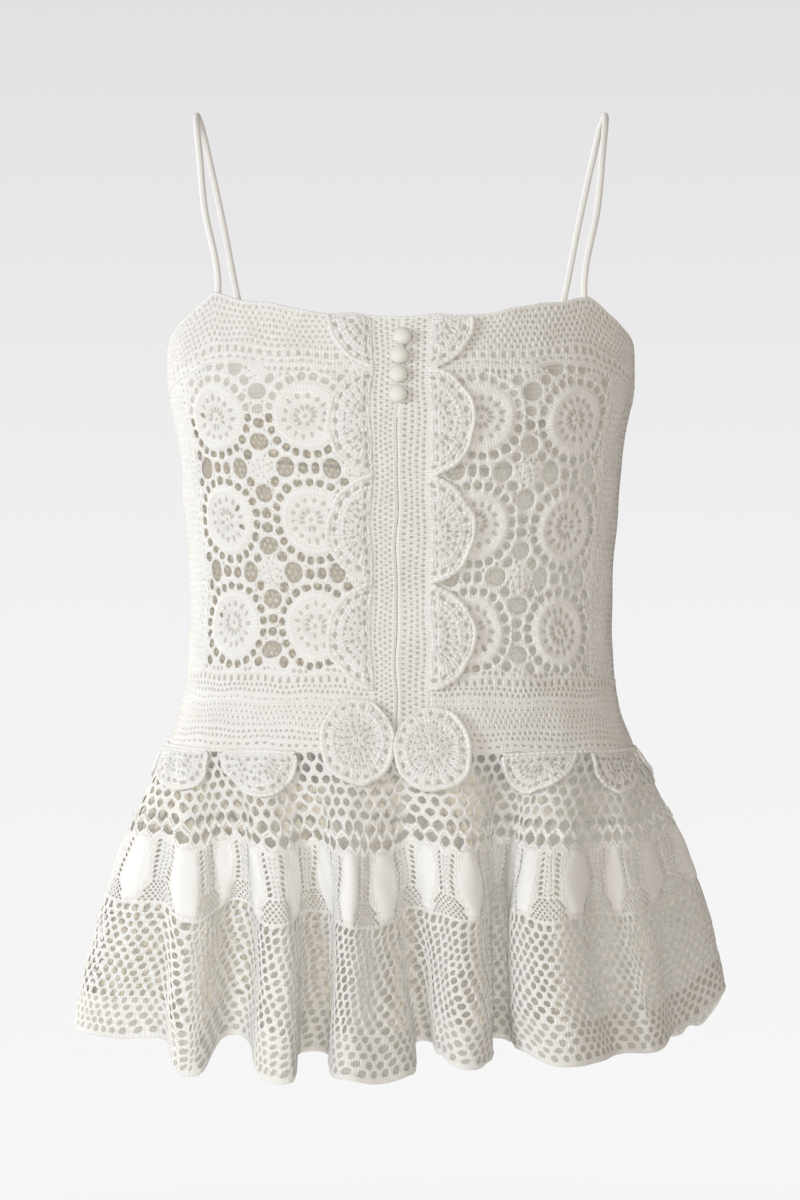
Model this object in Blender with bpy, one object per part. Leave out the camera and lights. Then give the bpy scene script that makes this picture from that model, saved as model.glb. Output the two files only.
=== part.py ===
"""Crochet camisole top with a flared peplum, as worn: a hollow garment of thin walls.

Metres, +Z up. The wearer faces -Y, and +X is on the right as seen from the front. The origin lies midway between the
tops of the two shoulder straps. Every cloth piece is a wall built from a mid-surface moved half a thickness each way.
"""
import bpy
import numpy as np

# ---------------------------------------------------------------- driving sizes (m)
WALL = 0.0020            # panel thickness
GAP = 0.0005             # between pieces at a seam
TRIM_LOW, TRIM_HIGH = 0.0018, 0.0032        # trims lie on a panel: inner and outer face from its mid-surface
EDGING_LOW, EDGING_HIGH = 0.0024, 0.0038    # the waist edging hangs freer, over the peplum's folds
ROSETTE_LOW, ROSETTE_HIGH = 0.0048, 0.0066
ROUNDNESS = 2.2          # exponent of the body's superellipse sections
PLACKET_HALF = 0.0178    # centre front to the placket's outer edge
WAIST_TOP = -0.3600      # waistband's upper edge
SEAM = -0.4045           # waistband to peplum
REPEATS = 36             # pattern repeats round the peplum
PITCH_Z = 0.0655         # medallion rows, and the scallops beside the placket
TRIM_RADIUS = 0.0290
ROSETTE_RADIUS = 0.0240
SCALLOPS = 11            # at the waist seam, evenly from the first round the back to the last
SCALLOP_FIRST = 0.0875   # along the seam from centre front to their middles, towards +X
SCALLOP_LAST = -0.0900
SCALLOP_RADIUS = 0.0258
SCALLOP_HEADER = 0.0022
STRAP_RADIUS = 0.0022
BUTTON_RADIUS = 0.0057
FULLNESS = 1.2           # how round the folds are: 1 is plain
MID_T = 0.45             # height of the peplum's middle curve, as a share of its drop

# body sections: height, half width, depth in front of and behind the side line
SECTION = [
    # z,      half_w, front,  back
    (-0.110, 0.1480, 0.0950, 0.0850),
    (-0.140, 0.1483, 0.0980, 0.0860),
    (-0.1625, 0.1480, 0.1050, 0.0880),
    (-0.184, 0.1466, 0.1110, 0.0890),
    (-0.211, 0.1412, 0.1140, 0.0890),
    (-0.248, 0.1378, 0.1080, 0.0870),
    (-0.287, 0.1347, 0.0985, 0.0840),
    (-0.312, 0.1336, 0.0950, 0.0825),
    (-0.338, 0.1340, 0.0950, 0.0830),
    (-0.3635, 0.1357, 0.0975, 0.0860),
    (-0.386, 0.1402, 0.1015, 0.0920),
    (-0.4045, 0.1474, 0.1065, 0.0985),
    (-0.425, 0.1560, 0.1120, 0.1040),
]
# upper edge and yoke's lower edge: angle from centre front (degrees), heights
EDGE = [
    # angle,  top,     yoke foot
    (0.0, -0.1384, -0.1695),
    (16.0, -0.1367, -0.1690),
    (28.0, -0.1320, -0.1675),
    (41.0, -0.1268, -0.1650),
    (51.5, -0.1222, -0.1655),
    (61.0, -0.1335, -0.1705),
    (72.0, -0.1420, -0.1760),
    (90.0, -0.1560, -0.1870),
    (112.0, -0.1720, -0.2040),
    (132.0, -0.1850, -0.2180),
    (152.0, -0.1900, -0.2230),
    (180.0, -0.1920, -0.2250),
]
# the garment hangs slightly lower on +X: half of the drop across it, by height
TILT = [
    # z,     drop
    (-0.130, 0.0010),
    (-0.190, 0.0006),
    (-0.250, 0.0030),
    (-0.330, 0.0033),
    (-0.360, 0.0026),
    (-0.400, 0.0014),
    (-0.425, 0.0010),
]
# the placket's closing line wanders off centre front, by height
CENTRE = [
    # z,     x
    (-0.130, 0.0004),
    (-0.190, -0.0018),
    (-0.300, -0.0026),
    (-0.425, -0.0030),
]
# peplum folds, round from the -X side seam: repeat index, middle curve, hem
FOLD = [
    # p,      mid_x,   mid_y,   hem_x,   hem_y,   hem_z
    (-9.0, -0.1790, 0.0400, -0.2000, 0.0480, -0.5920),    # side
    (-8.1, -0.1835, 0.0030, -0.2085, 0.0000, -0.5870),    # ridge
    (-7.4, -0.1640, -0.0350, -0.1780, -0.0430, -0.5880),  # ridge
    (-7.0, -0.1500, -0.0440, -0.1500, -0.0560, -0.5870),  # valley
    (-6.5, -0.1310, -0.0740, -0.1300, -0.1040, -0.6050),  # ridge
    (-5.2, -0.1030, -0.0640, -0.1040, -0.0800, -0.5815),  # valley
    (-4.0, -0.0760, -0.1110, -0.0720, -0.1560, -0.6026),  # ridge
    (-2.9, -0.0535, -0.0900, -0.0540, -0.1080, -0.5880),  # valley
    (-1.6, -0.0330, -0.1310, -0.0375, -0.1600, -0.5985),  # ridge
    (-0.8, -0.0185, -0.1260, -0.0110, -0.1560, -0.6025),  # shoulder
    (-0.3, -0.0055, -0.1160, 0.0070, -0.1400, -0.5985),   # shoulder
    (0.1, 0.0050, -0.1050, 0.0130, -0.1130, -0.5810),     # valley
    (0.7, 0.0210, -0.1240, 0.0230, -0.1460, -0.5860),     # shoulder
    (1.3, 0.0370, -0.1330, 0.0395, -0.1610, -0.5936),     # ridge
    (2.0, 0.0520, -0.1160, 0.0540, -0.1400, -0.5900),     # shoulder
    (3.0, 0.0595, -0.0870, 0.0585, -0.1020, -0.5800),     # valley
    (4.3, 0.0720, -0.1210, 0.0740, -0.1380, -0.5855),     # shoulder
    (5.0, 0.0890, -0.1320, 0.0970, -0.1520, -0.5925),     # ridge
    (5.5, 0.1045, -0.1230, 0.1190, -0.1380, -0.5920),     # shoulder
    (6.0, 0.1225, -0.0930, 0.1380, -0.1020, -0.5900),     # valley
    (7.0, 0.1415, -0.0920, 0.1545, -0.1080, -0.5895),     # ridge
    (7.6, 0.1580, -0.0640, 0.1720, -0.0640, -0.5800),     # valley
    (8.6, 0.1825, -0.0120, 0.2060, -0.0100, -0.5615),     # ridge
    (10.0, 0.1760, 0.0400, 0.1920, 0.0450, -0.5900),      # valley
    (11.3, 0.1600, 0.0780, 0.1740, 0.1040, -0.6040),      # ridge
    (12.4, 0.1320, 0.0830, 0.1370, 0.0910, -0.6060),      # valley
    (13.6, 0.1090, 0.1150, 0.1170, 0.1420, -0.6100),      # ridge
    (14.7, 0.0800, 0.1010, 0.0820, 0.1080, -0.6090),      # valley
    (15.9, 0.0560, 0.1300, 0.0600, 0.1580, -0.6110),      # ridge
    (17.0, 0.0300, 0.1070, 0.0300, 0.1120, -0.6090),      # valley
    (18.2, 0.0040, 0.1320, 0.0050, 0.1630, -0.6120),      # ridge
    (19.3, -0.0220, 0.1070, -0.0240, 0.1120, -0.6090),    # valley
    (20.5, -0.0480, 0.1310, -0.0500, 0.1600, -0.6110),    # ridge
    (21.6, -0.0740, 0.1030, -0.0770, 0.1100, -0.6080),    # valley
    (22.8, -0.1010, 0.1180, -0.1090, 0.1470, -0.6080),    # ridge
    (24.0, -0.1270, 0.0880, -0.1330, 0.0960, -0.6040),    # valley
    (25.2, -0.1540, 0.0820, -0.1690, 0.1060, -0.6020),    # ridge
    (26.2, -0.1700, 0.0570, -0.1860, 0.0680, -0.5960),    # valley
]
# strap on +X between its feet, front to back (points on its centre line)
STRAP = [
    # x,      y,       z
    (0.1236, -0.0460, -0.0644),
    (0.1276, -0.0310, -0.0275),
    (0.1302, -0.0130, -0.0075),
    (0.1306, 0.0040, -0.0022),
    (0.1285, 0.0200, -0.0080),
    (0.1236, 0.0340, -0.0303),
    (0.1160, 0.0470, -0.0670),
    (0.1070, 0.0600, -0.1148),
]
# the straps' feet are sewn inside the yoke: angle from centre front (degrees), how far up and down from its edge
STRAP_FOOT = [
    # angle, above,  below
    (51.5, 0.0040, 0.0090),
    (143.5, 0.0060, 0.0090),
]
# buttons down the placket: sideways place, height
BUTTON = [
    # x,      z
    (0.0005, -0.1520),
    (-0.0012, -0.1637),
    (-0.0019, -0.1754),
    (-0.0021, -0.1873),
]
# rosettes: sideways place along the body, height
ROSETTE = [
    # side,     s,       z
    ("left", -0.0272, -0.3990),
    ("right", 0.0220, -0.4035),
]


# ---------------------------------------------------------------- the body's surface
def column(table, k):
    return np.array([row[k] for row in table], float)


def smooth_at(x, xs, ys):
    """Cubic through the table's rows, with slopes from its neighbours; it stays level past the ends."""
    x = np.clip(x, xs[0], xs[-1])
    slope = np.gradient(ys, xs)
    i = np.clip(np.searchsorted(xs, x) - 1, 0, len(xs) - 2)
    h = xs[i + 1] - xs[i]
    t = (x - xs[i]) / h
    return (
        (2 * t**3 - 3 * t**2 + 1) * ys[i]
        + (t**3 - 2 * t**2 + t) * h * slope[i]
        + (-2 * t**3 + 3 * t**2) * ys[i + 1]
        + (t**3 - t**2) * h * slope[i + 1]
    )


def section(z, k):
    return smooth_at(-np.asarray(z, float), -column(SECTION, 0), column(SECTION, k))


RATIO = np.linspace(0.5, 1.0, 11)
SHARE = np.linspace(0.0, 1.0, 257)


def quarter_tables():
    """For each depth-to-width ratio, the angle at each share of a quarter's length, and that length for width 1."""
    angle = np.linspace(0, np.pi / 2, 1441)
    e = 2 / ROUNDNESS
    angles, lengths = [], []
    for ratio in RATIO:
        x, y = np.sin(angle) ** e, ratio * np.cos(angle) ** e
        run = np.concatenate([[0], np.cumsum(np.hypot(np.diff(x), np.diff(y)))])
        angles.append(np.interp(SHARE, run / run[-1], angle))
        lengths.append(run[-1])
    return np.array(angles), np.array(lengths)


ANGLE, LENGTH = quarter_tables()


def angle_at(ratio, share):
    r = np.clip((ratio - RATIO[0]) / (RATIO[1] - RATIO[0]), 0, len(RATIO) - 1.001)
    s = np.clip(share, 0, 1) * (len(SHARE) - 1)
    s = np.minimum(s, len(SHARE) - 1.001)
    i, j = r.astype(int), s.astype(int)
    fr, fs = r - i, s - j
    return (ANGLE[i, j] * (1 - fr) + ANGLE[i + 1, j] * fr) * (1 - fs) + (
        ANGLE[i, j + 1] * (1 - fr) + ANGLE[i + 1, j + 1] * fr
    ) * fs


def quarter_length(v, back=False):
    a = section(v, 1)
    b = section(v, 3 if back else 2)
    return a * np.interp(b / a, RATIO, LENGTH)


def body(u, v):
    """Mid-surface point: u is 0 at centre front, 1 at the +X side, 2 at centre back; v is the height before the tilt."""
    u, v = np.broadcast_arrays(np.asarray(u, float), np.asarray(v, float))
    u = (u + 2) % 4 - 2
    turn = np.where(u >= 0, 1.0, -1.0)
    w = np.abs(u)
    back = w > 1
    a = section(v, 1)
    b = np.where(back, section(v, 3), section(v, 2))
    angle = angle_at(b / a, np.where(back, 2 - w, w))
    e = 2 / ROUNDNESS
    x = turn * a * np.sin(angle) ** e
    y = np.where(back, 1, -1) * b * np.cos(angle) ** e
    drop = np.interp(-v, -column(TILT, 0), column(TILT, 1))
    return np.stack([x, y, v - drop * x / a], -1)


def edge_at(u, k):
    """Height of the upper edge (k 1) or the yoke's foot (k 2) at u."""
    w = np.abs((np.asarray(u, float) + 2) % 4 - 2)
    v = np.full(w.shape, -0.16)
    a = section(v, 1)
    b = np.where(w > 1, section(v, 3), section(v, 2))
    angle = np.degrees(angle_at(b / a, np.where(w > 1, 2 - w, w)))
    angle = np.where(w > 1, 180 - angle, angle)
    return np.interp(angle, column(EDGE, 0), column(EDGE, k))


# ---------------------------------------------------------------- the peplum's surface
def fold_curve(kx, ky):
    """A closed plan curve through the fold table, even in length between its rows: positions at each repeat index."""
    p = column(FOLD, 0)
    pts = np.stack([column(FOLD, kx), column(FOLD, ky)], 1)
    n = len(p)
    along = np.roll(pts, -1, 0) - np.roll(pts, 1, 0)
    along /= np.linalg.norm(along, axis=1)[:, None]
    index, place = [], []
    for i in range(n):
        j = (i + 1) % n
        p1 = p[j] if j else p[0] + REPEATS
        chord = np.linalg.norm(pts[j] - pts[i])
        q = np.linspace(0, 1, 65)[:, None]
        run = (
            (2 * q**3 - 3 * q**2 + 1) * pts[i]
            + (q**3 - 2 * q**2 + q) * FULLNESS * chord * along[i]
            + (-2 * q**3 + 3 * q**2) * pts[j]
            + (q**3 - q**2) * FULLNESS * chord * along[j]
        )
        length = np.concatenate([[0], np.cumsum(np.linalg.norm(np.diff(run, axis=0), axis=1))])
        index.append(p[i] + (p1 - p[i]) * length[:-1] / length[-1])
        place.append(run[:-1])
    index = np.concatenate(index + [[p[0] + REPEATS]])
    place = np.concatenate(place + [pts[:1]])
    return index, place


MIDDLE = fold_curve(1, 2)
HEM = fold_curve(3, 4)


def on_curve(curve, p):
    p = (p - curve[0][0]) % REPEATS + curve[0][0]
    return np.stack([np.interp(p, curve[0], curve[1][:, k]) for k in (0, 1)], -1)


def hem_height(p):
    ps = column(FOLD, 0)
    ps, zs = np.append(ps, ps[0] + REPEATS), np.append(column(FOLD, 5), FOLD[0][5])
    p = (p - ps[0]) % REPEATS + ps[0]
    i = np.clip(np.searchsorted(ps, p, side="right") - 1, 0, len(ps) - 2)
    t = (p - ps[i]) / (ps[i + 1] - ps[i])
    t = t * t * (3 - 2 * t)
    return zs[i] * (1 - t) + zs[i + 1] * t


def peplum(p, t):
    """Mid-surface point: p counts repeats from centre front towards +X; t is 0 at the seam and 1 at the hem."""
    p, t = np.broadcast_arrays(np.asarray(p, float), np.asarray(t, float))
    u = p / (REPEATS / 4)
    u = (u + 2) % 4 - 2
    seam = body(u, np.full(u.shape, SEAM))
    mid, hem = on_curve(MIDDLE, p), on_curve(HEM, p)
    m = MID_T
    w0 = (t - m) * (t - 1) / m
    w1 = t * (t - 1) / (m * (m - 1))
    w2 = t * (t - m) / (1 - m)
    xy = seam[..., :2] * w0[..., None] + mid * w1[..., None] + hem * w2[..., None]
    z = seam[..., 2] + (hem_height(p) - seam[..., 2]) * t
    return np.concatenate([xy, z[..., None]], -1)


def moved(surface, a, b, out, step=(0.004, 0.0008)):
    """Points of a surface moved out along its normal."""
    da = surface(a + step[0], b) - surface(a - step[0], b)
    db = surface(a, b - step[1]) - surface(a, b + step[1])
    n = np.cross(db, da)
    n /= np.linalg.norm(n, axis=-1)[..., None]
    return surface(a, b) + n * np.asarray(out)[..., None]


def body_out(u, v, out):
    return moved(body, u, v, out)


def peplum_out(p, t, out):
    t = np.asarray(t, float)
    return moved(lambda a, b: peplum(a, -b), np.asarray(p, float), -t, out, (0.03, 0.004))


# ---------------------------------------------------------------- solids
def material(name, rgb, roughness):
    m = bpy.data.materials.new(name)
    m.use_nodes = True
    shader = m.node_tree.nodes["Principled BSDF"]
    shader.inputs["Base Color"].default_value = (*rgb, 1)
    shader.inputs["Roughness"].default_value = roughness
    shader.inputs["Metallic"].default_value = 0
    return m


def add(name, points, faces, look):
    mesh = bpy.data.meshes.new(name)
    mesh.from_pydata([tuple(map(float, q)) for q in points], [], faces)
    mesh.materials.append(look)
    mesh.validate()
    mesh.update()
    obj = bpy.data.objects.new(name, mesh)
    bpy.context.scene.collection.objects.link(obj)
    mesh.shade_smooth()
    mesh.set_sharp_from_angle(angle=np.radians(50))
    return obj


def wall(name, inner, outer, look):
    """A closed wall from two grids of points, rows down and columns towards +X as seen from outside."""
    rows, cols = outer.shape[:2]
    size = rows * cols
    points = np.concatenate([outer.reshape(-1, 3), inner.reshape(-1, 3)])
    at = lambda r, c: r * cols + c
    faces = []
    for r in range(rows - 1):
        for c in range(cols - 1):
            a, b, d, e = at(r, c), at(r + 1, c), at(r + 1, c + 1), at(r, c + 1)
            faces.append((a, b, d, e))
            faces.append((size + e, size + d, size + b, size + a))
    rim = [at(0, c) for c in range(cols)]
    rim += [at(r, cols - 1) for r in range(1, rows)]
    rim += [at(rows - 1, c) for c in range(cols - 2, -1, -1)]
    rim += [at(r, 0) for r in range(rows - 2, 0, -1)]
    for k, a in enumerate(rim):
        b = rim[(k + 1) % len(rim)]
        faces.append((a, b, size + b, size + a))
    return add(name, points, faces, look)


def grid(u0, u1, top, foot, cols, rows):
    """u and v over a panel whose ends are functions of v and whose top and foot are functions of u."""
    s, t = np.meshgrid(np.linspace(0, 1, cols), np.linspace(0, 1, rows))
    v = top(u0(-0.2) + (u1(-0.2) - u0(-0.2)) * s) * (1 - t) + foot(u0(-0.2) + (u1(-0.2) - u0(-0.2)) * s) * t
    u = u0(v) + (u1(v) - u0(v)) * s
    for _ in range(3):
        v = top(u) * (1 - t) + foot(u) * t
        u = u0(v) + (u1(v) - u0(v)) * s
    return u, v


def panel(name, u0, u1, top, foot, cols, rows, look, low=-WALL / 2, high=WALL / 2):
    u, v = grid(u0, u1, top, foot, cols, rows)
    out = np.ones(u.shape)
    return wall(name, body_out(u, v, low * out), body_out(u, v, high * out), look)


def at_width(s):
    """u of a line that keeps a distance s from centre front at every height."""
    return lambda v: s / quarter_length(np.asarray(v, float))


def at_centre(s):
    """u of a line that keeps a distance s from the placket's closing line."""
    return lambda v: (s + np.interp(-v, -column(CENTRE, 0), column(CENTRE, 1))) / quarter_length(np.asarray(v, float))


def fixed(value):
    return lambda v: value + 0 * np.asarray(v, float)


def height(value):
    return lambda u: value + 0 * np.asarray(u, float)


def main():
    for obj in list(bpy.data.objects):
        bpy.data.objects.remove(obj, do_unlink=True)
    cotton = material("ivory_cotton_crochet", (0.84, 0.82, 0.77), 0.9)
    trim = material("ivory_cotton_trim", (0.87, 0.85, 0.81), 0.88)
    strap_look = material("ivory_rouleau", (0.86, 0.84, 0.79), 0.7)
    button_look = material("ivory_covered_button", (0.82, 0.81, 0.74), 0.55)

    top = lambda u: edge_at(u, 1)
    foot = lambda u: edge_at(u, 2)
    foot_below = lambda u: edge_at(u, 2) - GAP
    side = GAP / 2 / 0.2
    inner = PLACKET_HALF + GAP

    # yoke, bodice and waistband, each from the placket to the side seam in front, and whole behind
    rows_of = {
        "yoke": (top, foot, 3, 14, 23),
        "bodice": (foot_below, height(WAIST_TOP + GAP), 10, 14, 23),
        "waistband": (height(WAIST_TOP), height(SEAM + GAP), 4, 14, 23),
    }
    for name, (upper, lower, rows, cols, cols_back) in rows_of.items():
        panel(name + "_front_right", at_width(inner), fixed(1 - side), upper, lower, cols, rows, cotton)
        panel(name + "_front_left", fixed(-1 + side), at_width(-inner), upper, lower, cols, rows, cotton)
        panel(name + "_back", fixed(1 + side), fixed(3 - side), upper, lower, cols_back, rows, cotton)

    # the placket's two strips
    seam_foot = height(SEAM + GAP)
    panel("placket_right", at_centre(GAP / 2), at_width(PLACKET_HALF), top, seam_foot, 3, 15, cotton)
    panel("placket_left", at_width(-PLACKET_HALF), at_centre(-GAP / 2), top, seam_foot, 3, 15, cotton)

    # peplum
    for name, p0, p1, cols in (("peplum_front", -9, 9, 85), ("peplum_back", 9, 27, 59)):
        p, t = np.meshgrid(np.linspace(p0 + 0.01, p1 - 0.01, cols), [0.002, 0.07, 0.16, 0.35, 0.65, 1.0])
        one = np.ones(p.shape)
        wall(name, peplum_out(p, t, -WALL / 2 * one), peplum_out(p, t, WALL / 2 * one), cotton)

    # scalloped trims beside the placket: a straight edge, and half rounds one row apart
    first = -0.1380
    for name, sign in (("scallop_trim_right", 1), ("scallop_trim_left", -1)):
        heights, reach = [], []
        for k in range(4):
            centre = first - k * PITCH_Z
            for turn in np.linspace(-1, 1, 10):
                z = centre + TRIM_RADIUS * np.sin(-turn * np.pi / 2)
                if k == 0 and z > centre - 0.0025:
                    continue
                heights.append(z)
                reach.append(0.0012 + TRIM_RADIUS * np.sqrt(max(0, 1 - ((z - centre) / TRIM_RADIUS) ** 2)))
        heights, reach = np.array(heights), np.array(reach)
        v, s = np.meshgrid(heights, np.linspace(0, 1, 3), indexing="ij")
        far = PLACKET_HALF + 0.0002 + reach[:, None] * s
        v = np.where(np.arange(len(heights))[:, None] == 0, -0.1405, v)
        if sign < 0:
            far = far[:, ::-1]
        u = sign * far / quarter_length(v)
        one = np.ones(u.shape)
        wall(name, body_out(u, v, TRIM_LOW * one), body_out(u, v, TRIM_HIGH * one), trim)

    # scalloped edging over the top of the peplum, with none in front of the placket
    drop = abs(FOLD[6][5] - SEAM)
    ring = 2 * (quarter_length(SEAM) + quarter_length(SEAM, True))
    pitch = (ring + SCALLOP_LAST - SCALLOP_FIRST) / (SCALLOPS - 1)
    half = SCALLOPS // 2
    behind = SCALLOP_FIRST + (half - 0.5) * pitch
    for name, k0, k1 in (("scallop_edging_right", 0, half), ("scallop_edging_left", half, SCALLOPS)):
        along, depth = [], []
        for k in range(k0, k1):
            for turn in np.linspace(-1, 1, 12):
                off = SCALLOP_RADIUS * np.sin(turn * np.pi / 2)
                along.append(SCALLOP_FIRST + k * pitch + off)
                depth.append(SCALLOP_HEADER + np.sqrt(max(0, SCALLOP_RADIUS**2 - off**2)))
            if k < k1 - 1:
                along.append(SCALLOP_FIRST + (k + 0.5) * pitch)
                depth.append(SCALLOP_HEADER)
        if k0 == 0:
            along, depth = along + [behind - GAP / 2], depth + [SCALLOP_HEADER]
        else:
            along, depth = [behind + GAP / 2] + along, [SCALLOP_HEADER] + depth
        ps, depth = np.array(along) * REPEATS / ring, np.array(depth)
        s = np.linspace(0, 1, 3)[:, None]
        t = 0.004 + s * depth[None] / drop
        p = np.broadcast_to(ps[None], t.shape)
        one = np.ones(t.shape)
        wall(name, peplum_out(p, t, EDGING_LOW * one), peplum_out(p, t, EDGING_HIGH * one), trim)

    # rosettes at the placket's foot: discs laid over the waistband and the peplum's head
    for name, s0, z0 in ROSETTE:
        rosette(name, s0, z0, trim)

    for k, (x, z) in enumerate(BUTTON):
        button(k + 1, x, z, button_look)

    for name, sign in (("strap_right", 1), ("strap_left", -1)):
        strap(name, sign, strap_look)


def front_out(s, z, out):
    """Point over the front at sideways length s and height z, moved out: on the body above the seam, eased onto the peplum below."""
    s, z = np.asarray(s, float), np.asarray(z, float)
    u = s / quarter_length(np.maximum(z, SEAM))
    above = body_out(u, np.maximum(z, -0.424), out)
    t = np.clip((SEAM - z) / 0.19, 0.001, 1)
    below = peplum_out(u * REPEATS / 4, t, out)
    share = np.clip((SEAM + 0.002 - z) / 0.010, 0, 1)[..., None]
    share = share * share * (3 - 2 * share)
    return above * (1 - share) + below * share


def rosette(name, s0, z0, look):
    sides = 24
    rings = [0.0, 0.34, 0.68, 1.0]
    outer, inner = [], []
    for r in rings:
        for k in range(sides if r else 1):
            turn = 2 * np.pi * k / sides
            s, z = s0 + ROSETTE_RADIUS * r * np.sin(turn), z0 + ROSETTE_RADIUS * r * np.cos(turn)
            base = front_out(s, z, ROSETTE_LOW)
            # the disc is stiffer than what it lies on, so it bridges the folds
            flat = min(front_out(s + d, z, ROSETTE_LOW)[1] for d in (-0.007, 0, 0.007))
            base = np.array([base[0], min(base[1], flat), base[2]])
            inner.append(base)
            outer.append(base + np.array([0, -(ROSETTE_HIGH - ROSETTE_LOW), 0]))
    n = len(outer)
    at = lambda i, k: 0 if i == 0 else 1 + (i - 1) * sides + k % sides
    faces = []
    for i in range(1, len(rings)):
        for k in range(sides):
            if i == 1:
                tri = (0, at(1, k + 1), at(1, k))
                faces += [tri, tuple(n + q for q in tri[::-1])]
            else:
                quad = (at(i - 1, k), at(i - 1, k + 1), at(i, k + 1), at(i, k))
                faces += [quad, tuple(n + q for q in quad[::-1])]
    last = len(rings) - 1
    for k in range(sides):
        faces.append((at(last, k), at(last, k + 1), n + at(last, k + 1), n + at(last, k)))
    add("rosette_" + name, outer + inner, faces, look)


def button(number, x, z, look):
    """A domed disc with a flat back, standing on the placket."""
    u = np.array(x / quarter_length(z))
    base = body_out(u, np.array(z), np.array(WALL / 2 + 0.0006))
    normal = body_out(u, np.array(z), np.array(1.0)) - body_out(u, np.array(z), np.array(0.0))
    across = np.cross(normal, (0, 0, 1))
    across /= -np.linalg.norm(across)
    upward = np.cross(across, -normal)
    profile = [(0.62, 0.0), (0.92, 0.0010), (1.0, 0.0026), (0.90, 0.0044), (0.62, 0.0058), (0.26, 0.0065)]
    sides = 14
    points, faces = [], []
    for share, up in profile:
        for k in range(sides):
            turn = 2 * np.pi * k / sides
            flat = BUTTON_RADIUS * share * (np.cos(turn) * across + np.sin(turn) * upward)
            points.append(base + flat + up * normal)
    for i in range(len(profile) - 1):
        for k in range(sides):
            a, b = i * sides + k, i * sides + (k + 1) % sides
            faces.append((a, b, b + sides, a + sides))
    faces.append(tuple(reversed(range(sides))))
    faces.append(tuple(range((len(profile) - 1) * sides, len(profile) * sides)))
    add(f"button_{number}", points, faces, look)


def strap_feet(sign):
    """Points inside the yoke, from the front foot's end up, and down to the back foot's end."""
    feet = []
    for angle, above, below in STRAP_FOOT:
        share = np.linspace(0, 2, 401)
        v = np.full(share.shape, -0.16)
        ratio = np.where(share > 1, section(v, 3), section(v, 2)) / section(v, 1)
        angles = np.degrees(angle_at(ratio, np.where(share > 1, 2 - share, share)))
        angles = np.where(share > 1, 180 - angles, angles)
        u = np.interp(angle, angles, share) * sign
        v = edge_at(u, 1)
        inside = -(WALL / 2 + STRAP_RADIUS + 0.0006)
        feet.append([body_out(u, np.asarray(v + dv), np.asarray(inside)) for dv in (-below, -below / 3, above)])
    front, back = feet
    return front, back[::-1]


def strap(name, sign, look):
    front, back = strap_feet(sign)
    path = np.array(front + [(sign * x, y, z) for x, y, z in STRAP] + back)
    run = np.concatenate([[0], np.cumsum(np.linalg.norm(np.diff(path, axis=0), axis=1))])
    where = np.linspace(0, run[-1], 34)
    points = np.stack([smooth_at(where, run, path[:, k]) for k in range(3)], 1)
    curve = bpy.data.curves.new(name, "CURVE")
    curve.dimensions = "3D"
    curve.bevel_depth = STRAP_RADIUS
    curve.bevel_resolution = 2
    curve.use_fill_caps = True
    spline = curve.splines.new("POLY")
    spline.points.add(len(points) - 1)
    for k, q in enumerate(points):
        spline.points[k].co = (*q, 1)
    curve.materials.append(look)
    obj = bpy.data.objects.new(name, curve)
    bpy.context.scene.collection.objects.link(obj)


main()
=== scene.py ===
"""The looks of the crochet camisole top: every panel as real openwork, with its cords, buttons and straps.

The surfaces repeat the sizes and functions of the CAD model, in metres. Each openwork panel is a thin closed shell
whose strands are lens-shaped in section: full thickness along their middles, and none at the edges of the holes. Many
holes are closed by a thin film of darker cotton, painted shade for the inside, and the back's cotton is paler, painted
light.
"""

import math

import bpy
import numpy as np
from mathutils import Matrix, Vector
from mathutils.geometry import delaunay_2d_cdt


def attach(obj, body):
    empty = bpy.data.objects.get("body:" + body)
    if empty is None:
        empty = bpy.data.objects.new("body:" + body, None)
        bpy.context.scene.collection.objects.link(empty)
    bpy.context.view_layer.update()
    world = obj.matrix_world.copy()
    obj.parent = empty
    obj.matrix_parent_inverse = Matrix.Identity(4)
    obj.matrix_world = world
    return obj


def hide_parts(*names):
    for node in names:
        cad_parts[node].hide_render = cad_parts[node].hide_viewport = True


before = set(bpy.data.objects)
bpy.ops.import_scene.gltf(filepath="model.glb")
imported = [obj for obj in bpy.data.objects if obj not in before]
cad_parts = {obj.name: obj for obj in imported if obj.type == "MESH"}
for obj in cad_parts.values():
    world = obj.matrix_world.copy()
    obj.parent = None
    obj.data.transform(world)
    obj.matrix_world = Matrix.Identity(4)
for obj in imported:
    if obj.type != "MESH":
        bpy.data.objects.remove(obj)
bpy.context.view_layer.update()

# ---------------------------------------------------------------- sizes shared with the CAD model (m)
WALL = 0.0020
GAP = 0.0005
TRIM_LOW, TRIM_HIGH = 0.0018, 0.0032
EDGING_LOW, EDGING_HIGH = 0.0024, 0.0038
ROSETTE_LOW, ROSETTE_HIGH = 0.0048, 0.0066
ROUNDNESS = 2.2
PLACKET_HALF = 0.0178
WAIST_TOP = -0.3600
SEAM = -0.4045
REPEATS = 36
PITCH_Z = 0.0655
TRIM_RADIUS = 0.0290
ROSETTE_RADIUS = 0.0240
SCALLOPS = 11
SCALLOP_FIRST = 0.0875
SCALLOP_LAST = -0.0900
SCALLOP_RADIUS = 0.0258
SCALLOP_HEADER = 0.0022
STRAP_RADIUS = 0.0022
BUTTON_RADIUS = 0.0057
FULLNESS = 1.2
MID_T = 0.45

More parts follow.
